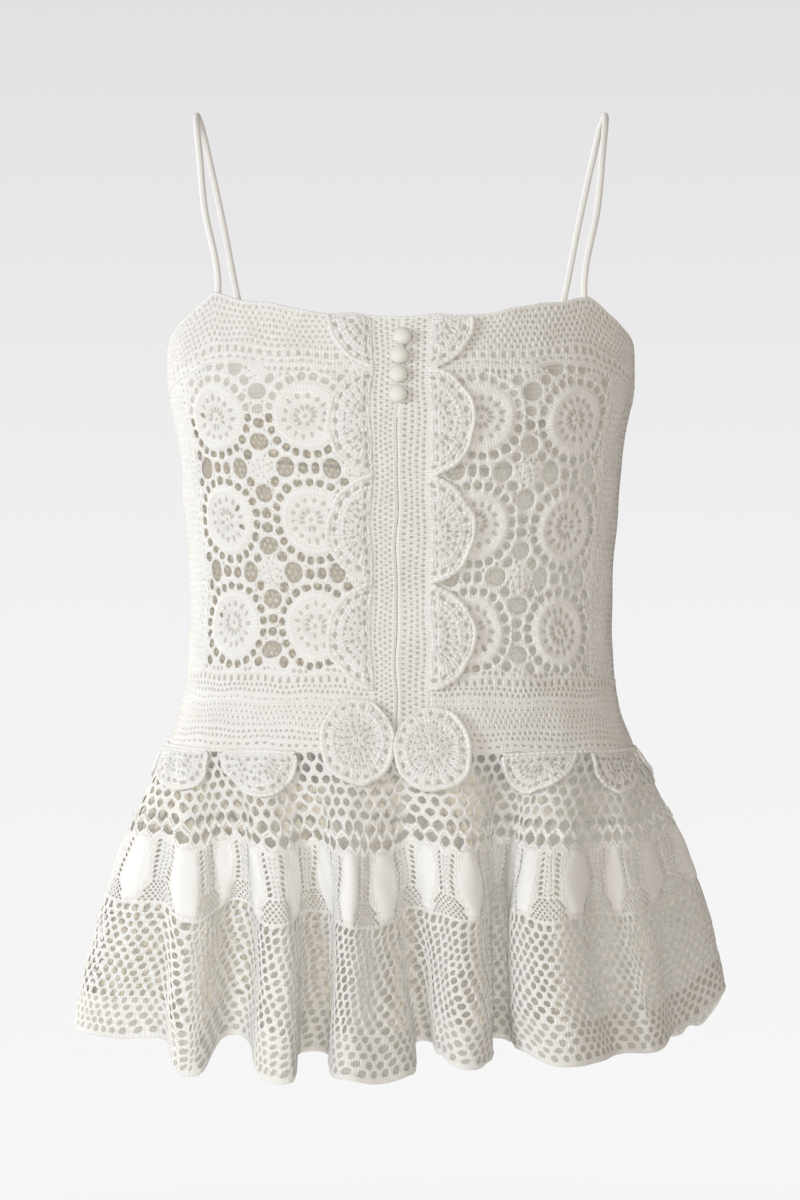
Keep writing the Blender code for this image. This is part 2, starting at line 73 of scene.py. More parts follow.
SECTION = [
    # z,      half_w, front,  back
    (-0.110, 0.1480, 0.0950, 0.0850),
    (-0.140, 0.1483, 0.0980, 0.0860),
    (-0.1625, 0.1480, 0.1050, 0.0880),
    (-0.184, 0.1466, 0.1110, 0.0890),
    (-0.211, 0.1412, 0.1140, 0.0890),
    (-0.248, 0.1378, 0.1080, 0.0870),
    (-0.287, 0.1347, 0.0985, 0.0840),
    (-0.312, 0.1336, 0.0950, 0.0825),
    (-0.338, 0.1340, 0.0950, 0.0830),
    (-0.3635, 0.1357, 0.0975, 0.0860),
    (-0.386, 0.1402, 0.1015, 0.0920),
    (-0.4045, 0.1474, 0.1065, 0.0985),
    (-0.425, 0.1560, 0.1120, 0.1040),
]
EDGE = [
    # angle,  top,     yoke foot
    (0.0, -0.1384, -0.1695),
    (16.0, -0.1367, -0.1690),
    (28.0, -0.1320, -0.1675),
    (41.0, -0.1268, -0.1650),
    (51.5, -0.1222, -0.1655),
    (61.0, -0.1335, -0.1705),
    (72.0, -0.1420, -0.1760),
    (90.0, -0.1560, -0.1870),
    (112.0, -0.1720, -0.2040),
    (132.0, -0.1850, -0.2180),
    (152.0, -0.1900, -0.2230),
    (180.0, -0.1920, -0.2250),
]
TILT = [
    # z,     drop
    (-0.130, 0.0010),
    (-0.190, 0.0006),
    (-0.250, 0.0030),
    (-0.330, 0.0033),
    (-0.360, 0.0026),
    (-0.400, 0.0014),
    (-0.425, 0.0010),
]
CENTRE = [
    # z,     x
    (-0.130, 0.0004),
    (-0.190, -0.0018),
    (-0.300, -0.0026),
    (-0.425, -0.0030),
]
FOLD = [
    # p,      mid_x,   mid_y,   hem_x,   hem_y,   hem_z
    (-9.0, -0.1790, 0.0400, -0.2000, 0.0480, -0.5920),
    (-8.1, -0.1835, 0.0030, -0.2085, 0.0000, -0.5870),
    (-7.4, -0.1640, -0.0350, -0.1780, -0.0430, -0.5880),
    (-7.0, -0.1500, -0.0440, -0.1500, -0.0560, -0.5870),
    (-6.5, -0.1310, -0.0740, -0.1300, -0.1040, -0.6050),
    (-5.2, -0.1030, -0.0640, -0.1040, -0.0800, -0.5815),
    (-4.0, -0.0760, -0.1110, -0.0720, -0.1560, -0.6026),
    (-2.9, -0.0535, -0.0900, -0.0540, -0.1080, -0.5880),
    (-1.6, -0.0330, -0.1310, -0.0375, -0.1600, -0.5985),
    (-0.8, -0.0185, -0.1260, -0.0110, -0.1560, -0.6025),
    (-0.3, -0.0055, -0.1160, 0.0070, -0.1400, -0.5985),
    (0.1, 0.0050, -0.1050, 0.0130, -0.1130, -0.5810),
    (0.7, 0.0210, -0.1240, 0.0230, -0.1460, -0.5860),
    (1.3, 0.0370, -0.1330, 0.0395, -0.1610, -0.5936),
    (2.0, 0.0520, -0.1160, 0.0540, -0.1400, -0.5900),
    (3.0, 0.0595, -0.0870, 0.0585, -0.1020, -0.5800),
    (4.3, 0.0720, -0.1210, 0.0740, -0.1380, -0.5855),
    (5.0, 0.0890, -0.1320, 0.0970, -0.1520, -0.5925),
    (5.5, 0.1045, -0.1230, 0.1190, -0.1380, -0.5920),
    (6.0, 0.1225, -0.0930, 0.1380, -0.1020, -0.5900),
    (7.0, 0.1415, -0.0920, 0.1545, -0.1080, -0.5895),
    (7.6, 0.1580, -0.0640, 0.1720, -0.0640, -0.5800),
    (8.6, 0.1825, -0.0120, 0.2060, -0.0100, -0.5615),
    (10.0, 0.1760, 0.0400, 0.1920, 0.0450, -0.5900),
    (11.3, 0.1600, 0.0780, 0.1740, 0.1040, -0.6040),
    (12.4, 0.1320, 0.0830, 0.1370, 0.0910, -0.6060),
    (13.6, 0.1090, 0.1150, 0.1170, 0.1420, -0.6100),
    (14.7, 0.0800, 0.1010, 0.0820, 0.1080, -0.6090),
    (15.9, 0.0560, 0.1300, 0.0600, 0.1580, -0.6110),
    (17.0, 0.0300, 0.1070, 0.0300, 0.1120, -0.6090),
    (18.2, 0.0040, 0.1320, 0.0050, 0.1630, -0.6120),
    (19.3, -0.0220, 0.1070, -0.0240, 0.1120, -0.6090),
    (20.5, -0.0480, 0.1310, -0.0500, 0.1600, -0.6110),
    (21.6, -0.0740, 0.1030, -0.0770, 0.1100, -0.6080),
    (22.8, -0.1010, 0.1180, -0.1090, 0.1470, -0.6080),
    (24.0, -0.1270, 0.0880, -0.1330, 0.0960, -0.6040),
    (25.2, -0.1540, 0.0820, -0.1690, 0.1060, -0.6020),
    (26.2, -0.1700, 0.0570, -0.1860, 0.0680, -0.5960),
]
STRAP = [
    # x,      y,       z
    (0.1236, -0.0460, -0.0644),
    (0.1276, -0.0310, -0.0275),
    (0.1302, -0.0130, -0.0075),
    (0.1306, 0.0040, -0.0022),
    (0.1285, 0.0200, -0.0080),
    (0.1236, 0.0340, -0.0303),
    (0.1160, 0.0470, -0.0670),
    (0.1070, 0.0600, -0.1148),
]
STRAP_FOOT = [
    # angle, above,  below
    (51.5, 0.0040, 0.0090),
    (143.5, 0.0060, 0.0090),
]
BUTTON = [
    # x,      z
    (0.0005, -0.1520),
    (-0.0012, -0.1637),
    (-0.0019, -0.1754),
    (-0.0021, -0.1873),
]
ROSETTE = [
    # side,     s,       z
    ("left", -0.0272, -0.3990),
    ("right", 0.0220, -0.4035),
]


# ---------------------------------------------------------------- the garment's surfaces, as in the CAD model
def column(table, k):
    return np.array([row[k] for row in table], float)


def smooth_at(x, xs, ys):
    x = np.clip(x, xs[0], xs[-1])
    slope = np.gradient(ys, xs)
    i = np.clip(np.searchsorted(xs, x) - 1, 0, len(xs) - 2)
    h = xs[i + 1] - xs[i]
    t = (x - xs[i]) / h
    return (
        (2 * t**3 - 3 * t**2 + 1) * ys[i]
        + (t**3 - 2 * t**2 + t) * h * slope[i]
        + (-2 * t**3 + 3 * t**2) * ys[i + 1]
        + (t**3 - t**2) * h * slope[i + 1]
    )


def section(z, k):
    return smooth_at(-np.asarray(z, float), -column(SECTION, 0), column(SECTION, k))


RATIO = np.linspace(0.5, 1.0, 11)
SHARE = np.linspace(0.0, 1.0, 257)


def quarter_tables():
    angle = np.linspace(0, np.pi / 2, 1441)
    e = 2 / ROUNDNESS
    angles, lengths = [], []
    for ratio in RATIO:
        x, y = np.sin(angle) ** e, ratio * np.cos(angle) ** e
        run = np.concatenate([[0], np.cumsum(np.hypot(np.diff(x), np.diff(y)))])
        angles.append(np.interp(SHARE, run / run[-1], angle))
        lengths.append(run[-1])
    return np.array(angles), np.array(lengths)


ANGLE, LENGTH = quarter_tables()


def angle_at(ratio, share):
    r = np.clip((ratio - RATIO[0]) / (RATIO[1] - RATIO[0]), 0, len(RATIO) - 1.001)
    s = np.clip(share, 0, 1) * (len(SHARE) - 1)
    s = np.minimum(s, len(SHARE) - 1.001)
    i, j = r.astype(int), s.astype(int)
    fr, fs = r - i, s - j
    return (ANGLE[i, j] * (1 - fr) + ANGLE[i + 1, j] * fr) * (1 - fs) + (
        ANGLE[i, j + 1] * (1 - fr) + ANGLE[i + 1, j + 1] * fr
    ) * fs


def quarter_length(v, back=False):
    a = section(v, 1)
    b = section(v, 3 if back else 2)
    return a * np.interp(b / a, RATIO, LENGTH)


def body(u, v):
    u, v = np.broadcast_arrays(np.asarray(u, float), np.asarray(v, float))
    u = (u + 2) % 4 - 2
    turn = np.where(u >= 0, 1.0, -1.0)
    w = np.abs(u)
    back = w > 1
    a = section(v, 1)
    b = np.where(back, section(v, 3), section(v, 2))
    angle = angle_at(b / a, np.where(back, 2 - w, w))
    e = 2 / ROUNDNESS
    x = turn * a * np.sin(angle) ** e
    y = np.where(back, 1, -1) * b * np.cos(angle) ** e
    drop = np.interp(-v, -column(TILT, 0), column(TILT, 1))
    return np.stack([x, y, v - drop * x / a], -1)


def edge_at(u, k):
    w = np.abs((np.asarray(u, float) + 2) % 4 - 2)
    v = np.full(w.shape, -0.16)
    a = section(v, 1)
    b = np.where(w > 1, section(v, 3), section(v, 2))
    angle = np.degrees(angle_at(b / a, np.where(w > 1, 2 - w, w)))
    angle = np.where(w > 1, 180 - angle, angle)
    return np.interp(angle, column(EDGE, 0), column(EDGE, k))


def fold_curve(kx, ky):
    p = column(FOLD, 0)
    pts = np.stack([column(FOLD, kx), column(FOLD, ky)], 1)
    n = len(p)
    along = np.roll(pts, -1, 0) - np.roll(pts, 1, 0)
    along /= np.linalg.norm(along, axis=1)[:, None]
    index, place = [], []
    for i in range(n):
        j = (i + 1) % n
        p1 = p[j] if j else p[0] + REPEATS
        chord = np.linalg.norm(pts[j] - pts[i])
        q = np.linspace(0, 1, 65)[:, None]
        run = (
            (2 * q**3 - 3 * q**2 + 1) * pts[i]
            + (q**3 - 2 * q**2 + q) * FULLNESS * chord * along[i]
            + (-2 * q**3 + 3 * q**2) * pts[j]
            + (q**3 - q**2) * FULLNESS * chord * along[j]
        )
        length = np.concatenate([[0], np.cumsum(np.linalg.norm(np.diff(run, axis=0), axis=1))])
        index.append(p[i] + (p1 - p[i]) * length[:-1] / length[-1])
        place.append(run[:-1])
    index = np.concatenate(index + [[p[0] + REPEATS]])
    place = np.concatenate(place + [pts[:1]])
    return index, place


MIDDLE = fold_curve(1, 2)
HEM = fold_curve(3, 4)


def on_curve(curve, p):
    p = (p - curve[0][0]) % REPEATS + curve[0][0]
    return np.stack([np.interp(p, curve[0], curve[1][:, k]) for k in (0, 1)], -1)


def hem_height(p):
    ps = column(FOLD, 0)
    ps, zs = np.append(ps, ps[0] + REPEATS), np.append(column(FOLD, 5), FOLD[0][5])
    p = (p - ps[0]) % REPEATS + ps[0]
    i = np.clip(np.searchsorted(ps, p, side="right") - 1, 0, len(ps) - 2)
    t = (p - ps[i]) / (ps[i + 1] - ps[i])
    t = t * t * (3 - 2 * t)
    return zs[i] * (1 - t) + zs[i + 1] * t


def peplum(p, t):
    p, t = np.broadcast_arrays(np.asarray(p, float), np.asarray(t, float))
    u = p / (REPEATS / 4)
    u = (u + 2) % 4 - 2
    seam = body(u, np.full(u.shape, SEAM))
    mid, hem = on_curve(MIDDLE, p), on_curve(HEM, p)
    m = MID_T
    w0 = (t - m) * (t - 1) / m
    w1 = t * (t - 1) / (m * (m - 1))
    w2 = t * (t - m) / (1 - m)
    xy = seam[..., :2] * w0[..., None] + mid * w1[..., None] + hem * w2[..., None]
    z = seam[..., 2] + (hem_height(p) - seam[..., 2]) * t
    return np.concatenate([xy, z[..., None]], -1)


def moved(surface, a, b, out, step=(0.004, 0.0008)):
    da = surface(a + step[0], b) - surface(a - step[0], b)
    db = surface(a, b - step[1]) - surface(a, b + step[1])
    n = np.cross(db, da)
    n /= np.linalg.norm(n, axis=-1)[..., None]
    return surface(a, b) + n * np.asarray(out)[..., None]


def body_out(u, v, out):
    return moved(body, u, v, out)


def peplum_out(p, t, out):
    t = np.asarray(t, float)
    return moved(lambda a, b: peplum(a, -b), np.asarray(p, float), -t, out, (0.03, 0.004))


def front_out(s, z, out):
    s, z = np.asarray(s, float), np.asarray(z, float)
    u = s / quarter_length(np.maximum(z, SEAM))
    above = body_out(u, np.maximum(z, -0.424), out)
    t = np.clip((SEAM - z) / 0.19, 0.001, 1)
    below = peplum_out(u * REPEATS / 4, t, out)
    share = np.clip((SEAM + 0.002 - z) / 0.010, 0, 1)[..., None]
    share = share * share * (3 - 2 * share)
    return above * (1 - share) + below * share


def at_width(s):
    return lambda v: s / quarter_length(np.asarray(v, float))


def at_centre(s):
    return lambda v: (s + np.interp(-v, -column(CENTRE, 0), column(CENTRE, 1))) / quarter_length(np.asarray(v, float))


def fixed(value):
    return lambda v: value + 0 * np.asarray(v, float)


def height(value):
    return lambda u: value + 0 * np.asarray(u, float)


def on_panel(u0, u1, top, foot, s, t):
    """u and v at shares s across and t down a panel whose ends depend on v and whose top and foot depend on u."""
    u = u0(-0.2 + 0 * s) + (u1(-0.2 + 0 * s) - u0(-0.2 + 0 * s)) * s
    for _ in range(5):
        v = top(u) * (1 - t) + foot(u) * t
        u = u0(v) + (u1(v) - u0(v)) * s
    return u, v


# ---------------------------------------------------------------- openwork: rows of cells between shared lines
RNG = np.random.default_rng(7)
FLOOR = 0.00022         # half thickness of the film in a closed hole


def row(high, cell=2, shift=0, hole=None, power=2.0, mids=False, thick=None, shut=False):
    """A row of cells: its height, each cell's width in units, the first cell's start, and the hole's share of the cell."""
    return dict(high=high, cell=cell, shift=shift, hole=hole, power=power, mids=mids, thick=thick, shut=shut)


def net(units, rows, thick, closed=(True, True, True, True), wander=0.10, zig=0.17, ends=(None, None), floor=0.0):
    """Openwork over a unit square: points (a across, b down), half thickness at each, quads, triangles and their slots.

    closed says whether the top, foot, left and right edges taper to nothing. zig is how far the line between two
    staggered rows goes up and down, as a share of a row, and ends gives that line at the top and the foot. With a floor,
    each hole is a hollow closed by a film of that half thickness."""
    high = np.array([r["high"] for r in rows], float)
    lines = np.concatenate([[0], np.cumsum(high)]) / high.sum()
    high = high / high.sum()
    ks = np.arange(units + 1)
    A, B, H = [], [], []
    for j, at in enumerate(lines):
        b = np.full(units + 1, at)
        h = np.full(units + 1, thick)
        if 0 < j < len(rows):
            up, low = rows[j - 1], rows[j]
            if up["hole"] and low["hole"] and up["cell"] == low["cell"] == 2 and up["shift"] != low["shift"]:
                rise = (high[j - 1] + high[j]) / 2 * zig
                b = b + np.where((ks - up["shift"]) % 2 == 1, rise, -rise)
            for near in (up, low):
                if near["thick"]:
                    h[:] = near["thick"]
        if j == 0 and ends[0] is not None:
            b = b + ends[0](ks)
        if j == len(rows) and ends[1] is not None:
            b = b + ends[1](ks)
        if j == 0 and closed[0] or j == len(rows) and closed[1]:
            h[:] = 0
        if closed[2]:
            h[0] = 0
        if closed[3]:
            h[-1] = 0
        A.append(ks / units)
        B.append(b)
        H.append(h)
    A, B, H = (list(np.concatenate(x)) for x in (A, B, H))
    quads, tris, floors = [], [], []
    at = lambda j, k: j * (units + 1) + k
    for j, r in enumerate(rows):
        if not r["hole"]:
            for k in range(units):
                quads.append((at(j, k), at(j + 1, k), at(j + 1, k + 1), at(j, k + 1)))
            continue
        w, shift = r["cell"], r["shift"]
        starts = list(range(shift, units - w + 1, w))
        end = starts[-1] + w if starts else 0
        joins = starts + [end]
        mid = {}
        if r["mids"]:
            for k in joins:
                mid[k] = len(A)
                A.append(k / units)
                B.append((B[at(j, k)] + B[at(j + 1, k)]) / 2)
                H.append(0 if (k == 0 and closed[2]) or (k == units and closed[3]) else thick)
        for k in range(shift):
            if mid and k == shift - 1:
                quads.append((at(j, k), at(j + 1, k), at(j + 1, k + 1), mid[shift]))
                tris.append((at(j, k), mid[shift], at(j, k + 1)))
            else:
                quads.append((at(j, k), at(j + 1, k), at(j + 1, k + 1), at(j, k + 1)))
        for k in range(end, units):
            if mid and k == end:
                quads.append((mid[end], at(j + 1, k), at(j + 1, k + 1), at(j, k + 1)))
                tris.append((at(j, k), mid[end], at(j, k + 1)))
            else:
                quads.append((at(j, k), at(j + 1, k), at(j + 1, k + 1), at(j, k + 1)))
        if not starts:
            continue
        k0 = np.array(starts)
        around = [at(j, k0)]
        if mid:
            around.append(np.array([mid[k] for k in starts]))
        around += [at(j + 1, k0 + i) for i in range(w + 1)]
        if mid:
            around.append(np.array([mid[k + w] for k in starts]))
        around += [at(j, k0 + i) for i in range(w, 0, -1)]
        around = np.stack(around, 1)
        a, b = np.array(A)[around], np.array(B)[around]
        ca = (k0 + w / 2) / units
        cb = (lines[j] + lines[j + 1]) / 2
        hw, hh = w / 2 / units, high[j] / 2
        angle = np.arctan2((cb - b) / hh, (a - ca[:, None]) / hw)
        size = 1 + RNG.uniform(-1, 1, (len(k0), 2)) * wander
        move = RNG.uniform(-1, 1, (len(k0), 2)) * wander * 0.6
        rough = 1 + RNG.uniform(-1, 1, angle.shape) * wander * 0.8
        e = 2 / r["power"]
        cos, sin = np.cos(angle), np.sin(angle)
        ra = ca[:, None] + hw * (r["hole"][0] * size[:, :1] * rough * np.sign(cos) * np.abs(cos) ** e + move[:, :1])
        rb = cb - hh * (r["hole"][1] * size[:, 1:] * rough * np.sign(sin) * np.abs(sin) ** e + move[:, 1:])
        first = len(A)
        n = around.shape[1]
        A += list(ra.ravel())
        B += list(rb.ravel())
        # a closed hole gets a film, whose triangles take slot 1 for a darker cotton that paints shade
        film = FLOOR if r["shut"] else floor
        H += [film] * ra.size
        ring = first + np.arange(ra.size).reshape(ra.shape)
        if film:
            middle = len(A) + np.arange(len(k0))
            A += list(ra.mean(1))
            B += list(rb.mean(1))
            H += [film] * len(k0)
        for i in range(n):
            i1 = (i + 1) % n
            quads += list(zip(around[:, i], around[:, i1], ring[:, i1], ring[:, i]))
            if film:
                floors += list(zip(ring[:, i], ring[:, i1], middle))
    slots = np.repeat([0, 1], [len(tris), len(floors)])
    tris = np.array(tris + floors, int).reshape(-1, 3)
    return np.array(A), np.array(B), np.array(H), np.array(quads, int), tris, slots


# ---------------------------------------------------------------- openwork: free holes in an outline
def oval(x, y, rx, ry, turn=0.0, sides=10, power=2.0, phase=0.0):
    a = np.linspace(0, 2 * np.pi, sides, endpoint=False) + phase
    e = 2 / power
    px = rx * np.sign(np.cos(a)) * np.abs(np.cos(a)) ** e
    py = ry * np.sign(np.sin(a)) * np.abs(np.sin(a)) ** e
    c, s = np.cos(turn), np.sin(turn)
    return np.stack([x + px * c - py * s, y + px * s + py * c], 1)


def ring_of(x, y, radius, count, across, along, sides=8, phase=0.0, power=2.0, start=0, stop=None):
    """Holes round a centre: across is each one's half width round the ring, and along its half length outwards."""
    out = []
    for k in range(start, count if stop is None else stop):
        a = phase + 2 * np.pi * k / count
        out.append(oval(x + radius * np.cos(a), y + radius * np.sin(a), along, across, a, sides, power))
    return out


def to_edges(points, loops, far=0.004):
    """Distance from each point to the nearest edge of the closed loops, or far where they are all further."""
    a = np.concatenate(loops)
    b = np.concatenate([np.roll(q, -1, 0) for q in loops])

    def nearest(p, a, b):
        d = b - a
        q = p[:, None, :] - a[None]
        t = np.clip((q * d[None]).sum(2) / ((d**2).sum(1) + 1e-18), 0, 1)
        return np.sqrt(((q - t[..., None] * d[None]) ** 2).sum(2).min(1))

    if len(points) * len(a) < 60000:
        return np.minimum(nearest(points, a, b), far)
    low, high = np.minimum(a, b) - far, np.maximum(a, b) + far
    best = np.full(len(points), far)
    cell = np.floor(points / 0.006).astype(int)
    order = np.lexsort((cell[:, 1], cell[:, 0]))
    breaks = np.flatnonzero(np.any(np.diff(cell[order], axis=0) != 0, axis=1)) + 1
    for group in np.split(order, breaks):
        c0 = cell[group[0]] * 0.006
        on = ((low < c0 + 0.006) & (high > c0)).all(1)
        if on.any():
            best[group] = np.minimum(nearest(points[group], a[on], b[on]), far)
    return best


def inside(points, loop):
    x, y = points[:, 0], points[:, 1]
    result = np.zeros(len(points), bool)
    for (x0, y0), (x1, y1) in zip(loop, np.roll(loop, -1, 0)):
        hit = (y0 > y) != (y1 > y)
        result ^= hit & (x < (x1 - x0) * (y - y0) / (y1 - y0 + 1e-18) + x0)
    return result


def thinned(points, gap, kept=None):
    """Points in order, leaving out any closer than gap to one already kept."""
    cell = {}
    out = []
    for q in [] if kept is None else kept:
        cell.setdefault((int(q[0] // gap), int(q[1] // gap)), []).append(q)
    for q in points:
        i, j = int(q[0] // gap), int(q[1] // gap)
        near = any(
            (q[0] - r[0]) ** 2 + (q[1] - r[1]) ** 2 < gap * gap
            for di in (-1, 0, 1)
            for dj in (-1, 0, 1)
            for r in cell.get((i + di, j + dj), ())
        )
        if not near:
            cell.setdefault((i, j), []).append(q)
            out.append(q)
    return np.array(out).reshape(-1, 2)


def settle(holes, least=0.0005):
    """The holes in order, leaving out each one that meets an earlier one."""
    kept, centres, reach = [], np.zeros((0, 2)), np.zeros(0)
    for h in holes:
        if h is None or len(h) < 4:
            continue
        c = h.mean(0)
        r = np.linalg.norm(h - c, axis=1).max()
        if len(kept):
            near = np.where(np.linalg.norm(centres - c, axis=1) < reach + r + least)[0]
            if any(
                (to_edges(h, [kept[i]]).min() < least) or inside(c[None], kept[i])[0] or inside(kept[i].mean(0)[None], h)[0]
                for i in near
            ):
                continue
        kept.append(h)
        centres = np.vstack([centres, c])
        reach = np.append(reach, r)
    return kept


def cdt(points, loops):
    edges = [(a, b) for loop in loops for a, b in zip(loop, loop[1:] + loop[:1])]
    got = delaunay_2d_cdt([Vector(q) for q in points], edges, [], 0, 1e-8)
    where = [o[0] if o else -1 for o in got[3]]
    verts = np.array([tuple(v) for v in got[0]])
    faces = np.array(got[2], int).reshape(-1, 3)
    return verts, faces, np.array(where)


def lace(outline, holes, thick, soft=0.0011, fill=0.0030, extra=(), open_edge=None, floors=None):
    """Openwork in an outline with free holes: points, half thickness, distance to the nearest hole, triangles and slots.

    open_edge(points) marks the outline's points that keep their thickness, to be welded to a neighbour. floors(hole)
    is the half thickness of the film that closes a hole, or 0 where it goes through."""
    floor = np.array([0.0] + [floors(q) if floors else 0.0 for q in holes])
    loops = [outline, *holes]
    points = np.concatenate(loops)
    owner = np.concatenate([np.full(len(q), i) for i, q in enumerate(loops)])
    ids, n = [], 0
    for q in loops:
        ids.append(list(range(n, n + len(q))))
        n += len(q)
    verts, faces, where = cdt(points, ids)
    own = np.where(where >= 0, owner[where], -1)
    pairs = np.concatenate([faces[:, [0, 1]], faces[:, [1, 2]], faces[:, [2, 0]]])
    pairs = pairs[own[pairs[:, 0]] != own[pairs[:, 1]]]
    length = np.linalg.norm(verts[pairs[:, 0]] - verts[pairs[:, 1]], axis=1)
    order = np.argsort(length)
    pairs, length = pairs[order], length[order]
    middle = (verts[pairs[:, 0]] + verts[pairs[:, 1]])[length < 2.4 * fill] / 2
    x0, y0 = outline.min(0)
    x1, y1 = outline.max(0)
    gx, gy = np.meshgrid(np.arange(x0, x1, fill), np.arange(y0, y1, fill * 0.866))
    gx = gx + (np.arange(gx.shape[0]) % 2)[:, None] * fill / 2
    spread = np.stack([gx.ravel(), gy.ravel()], 1)
    candidates = [np.asarray(extra, float).reshape(-1, 2)] if len(extra) else []
    candidates += [middle]
    inner = np.concatenate(candidates) if candidates else np.zeros((0, 2))
    ok = inside(inner, outline)
    inner = inner[ok]
    free = to_edges(inner, loops)
    for h in holes:
        near = np.linalg.norm(inner - h.mean(0), axis=1) < np.linalg.norm(h - h.mean(0), axis=1).max()
        if near.any():
            free[np.where(near)[0][inside(inner[near], h)]] = 0
    inner = inner[free > 0.0002]
    inner = thinned(inner, min(0.0009, fill * 0.45))
    spread = spread[inside(spread, outline)]
    free = to_edges(spread, loops)
    for h in holes:
        near = np.linalg.norm(spread - h.mean(0), axis=1) < np.linalg.norm(h - h.mean(0), axis=1).max()
        if near.any():
            free[np.where(near)[0][inside(spread[near], h)]] = 0
    spread = spread[free > fill * 0.4]
    spread = thinned(spread, fill * 0.62, inner)
    allp = np.concatenate([points, inner, spread])
    owner = np.concatenate([owner, np.full(len(inner) + len(spread), -1)])
    verts, faces, where = cdt(allp, ids)
    own = np.where(where >= 0, owner[where], -2)
    f = own[faces]
    in_hole = (f[:, 0] == f[:, 1]) & (f[:, 1] == f[:, 2]) & (f[:, 0] > 0)
    centre = verts[faces].mean(1)
    shut = in_hole & (floor[np.maximum(f[:, 0], 0)] > 0)
    kept = (~in_hole | shut) & inside(centre, outline)
    faces, slots = faces[kept], shut[kept].astype(int)
    used = np.unique(faces)
    back = np.full(len(verts), -1)
    back[used] = np.arange(len(used))
    verts, faces, own = verts[used], back[faces], own[used]
    free = to_edges(verts, holes) if holes else np.full(len(verts), 1.0)
    rim = to_edges(verts, [outline])
    near = np.minimum(free, rim)
    if open_edge is not None:
        keep = open_edge(verts)
        near = np.where(keep, free, np.minimum(free, np.where(open_edge(verts), 1.0, rim)))
        h = thick * np.sqrt(np.clip(1 - (1 - np.clip(near / soft, 0, 1)) ** 2, 0, 1))
        h[(own == 0) & ~keep] = 0
        h[keep] = thick
    else:
        h = thick * np.sqrt(np.clip(1 - (1 - np.clip(near / soft, 0, 1)) ** 2, 0, 1))
        h[own == 0] = 0
    h[own > 0] = floor[own[own > 0]]
    h[(own == -1) & (h < 0.25 * thick)] = 0.25 * thick
    area = np.cross(verts[faces[:, 1]] - verts[faces[:, 0]], verts[faces[:, 2]] - verts[faces[:, 0]])
    faces[area < 0] = faces[area < 0][:, ::-1]
    return verts, h, free, faces, slots


def polar_uv(verts, faces, centres, reach, stitches, core=0.0048):
    """Corner coordinates: round the nearest centre within reach, with that many stitches in a turn, and plain elsewhere."""
    centres = np.asarray(centres, float).reshape(-1, 2)
    d = np.linalg.norm(verts[faces].mean(1)[:, None] - centres[None], axis=2)
    off = verts[faces] - centres[d.argmin(1)][:, None]
    angle = np.arctan2(off[..., 1], off[..., 0])
    angle = angle[:, :1] + (angle - angle[:, :1] + np.pi) % (2 * np.pi) - np.pi
    polar = np.stack([angle * stitches * 0.0018 / (2 * np.pi), np.linalg.norm(off, axis=2)], -1)
    round_about = (d.min(1) < reach) & (d.min(1) > core)
    return np.where(round_about[:, None, None], polar, verts[faces])


# ---------------------------------------------------------------- meshes
def mesh_of(name, co, quads, tris, uv=None, smooth=True, weld=2e-6, rim=None, slots=None, corner_uv=None):
    """A mesh object from points, quads and triangles, with coincident points joined.

    uv is one (x, y) for each point, and corner_uv one for each corner of the quads and then of the triangles."""
    co = np.asarray(co, float)
    if weld:
        _, first, inverse = np.unique(np.round(co / weld).astype(np.int64), axis=0, return_index=True, return_inverse=True)
        inverse = inverse.reshape(-1)
        source = first
        co = co[source]
        rim = rim[source] if rim is not None else None
    else:
        inverse = np.arange(len(co))
    quads = np.asarray(quads, int).reshape(-1, 4)
    tris = np.asarray(tris, int).reshape(-1, 3)
    if uv is not None:
        corner_uv = np.concatenate([uv[quads.ravel()], uv[tris.ravel()]])
    q, t = inverse[quads], inverse[tris]
    if len(q):
        good = (np.sort(q, 1)[:, 1:] != np.sort(q, 1)[:, :-1]).all(1)
        if not good.all():
            keep = np.concatenate([np.repeat(good, 4), np.ones(len(tris) * 3, bool)])
            corner_uv = corner_uv[keep] if corner_uv is not None else None
            slots = slots[np.concatenate([good, np.ones(len(tris), bool)])] if slots is not None else None
            q = q[good]
    if len(t):
        good = (t[:, 0] != t[:, 1]) & (t[:, 1] != t[:, 2]) & (t[:, 2] != t[:, 0])
        if not good.all():
            keep = np.concatenate([np.ones(len(q) * 4, bool), np.repeat(good, 3)])
            corner_uv = corner_uv[keep] if corner_uv is not None else None
            slots = slots[np.concatenate([np.ones(len(q), bool), good])] if slots is not None else None
            t = t[good]
    mesh = bpy.data.meshes.new(name)
    mesh.vertices.add(len(co))
    mesh.vertices.foreach_set("co", co.astype(np.float32).ravel())
    total = len(q) * 4 + len(t) * 3
    mesh.loops.add(total)
    mesh.loops.foreach_set("vertex_index", np.concatenate([q.ravel(), t.ravel()]).astype(np.int32))
    mesh.polygons.add(len(q) + len(t))
    start = np.concatenate([np.arange(len(q)) * 4, len(q) * 4 + np.arange(len(t)) * 3])
    mesh.polygons.foreach_set("loop_start", start.astype(np.int32))
    if corner_uv is not None:
        layer = mesh.uv_layers.new(name="Stitch")
        layer.data.foreach_set("uv", corner_uv.astype(np.float32).ravel())
    if slots is not None:
        mesh.polygons.foreach_set("material_index", np.asarray(slots, np.int32))
    mesh.update(calc_edges=True)
    if smooth:
        mesh.shade_smooth()
    if rim is not None:
        ends = np.empty(len(mesh.edges) * 2, np.int32)
        mesh.edges.foreach_get("vertices", ends)
        sharp = rim[ends.reshape(-1, 2)].all(1)
        mesh.attributes.new("sharp_edge", "BOOLEAN", "EDGE").data.foreach_set("value", sharp)
    obj = bpy.data.objects.new(name, mesh)
    bpy.context.scene.collection.objects.link(obj)
    return obj


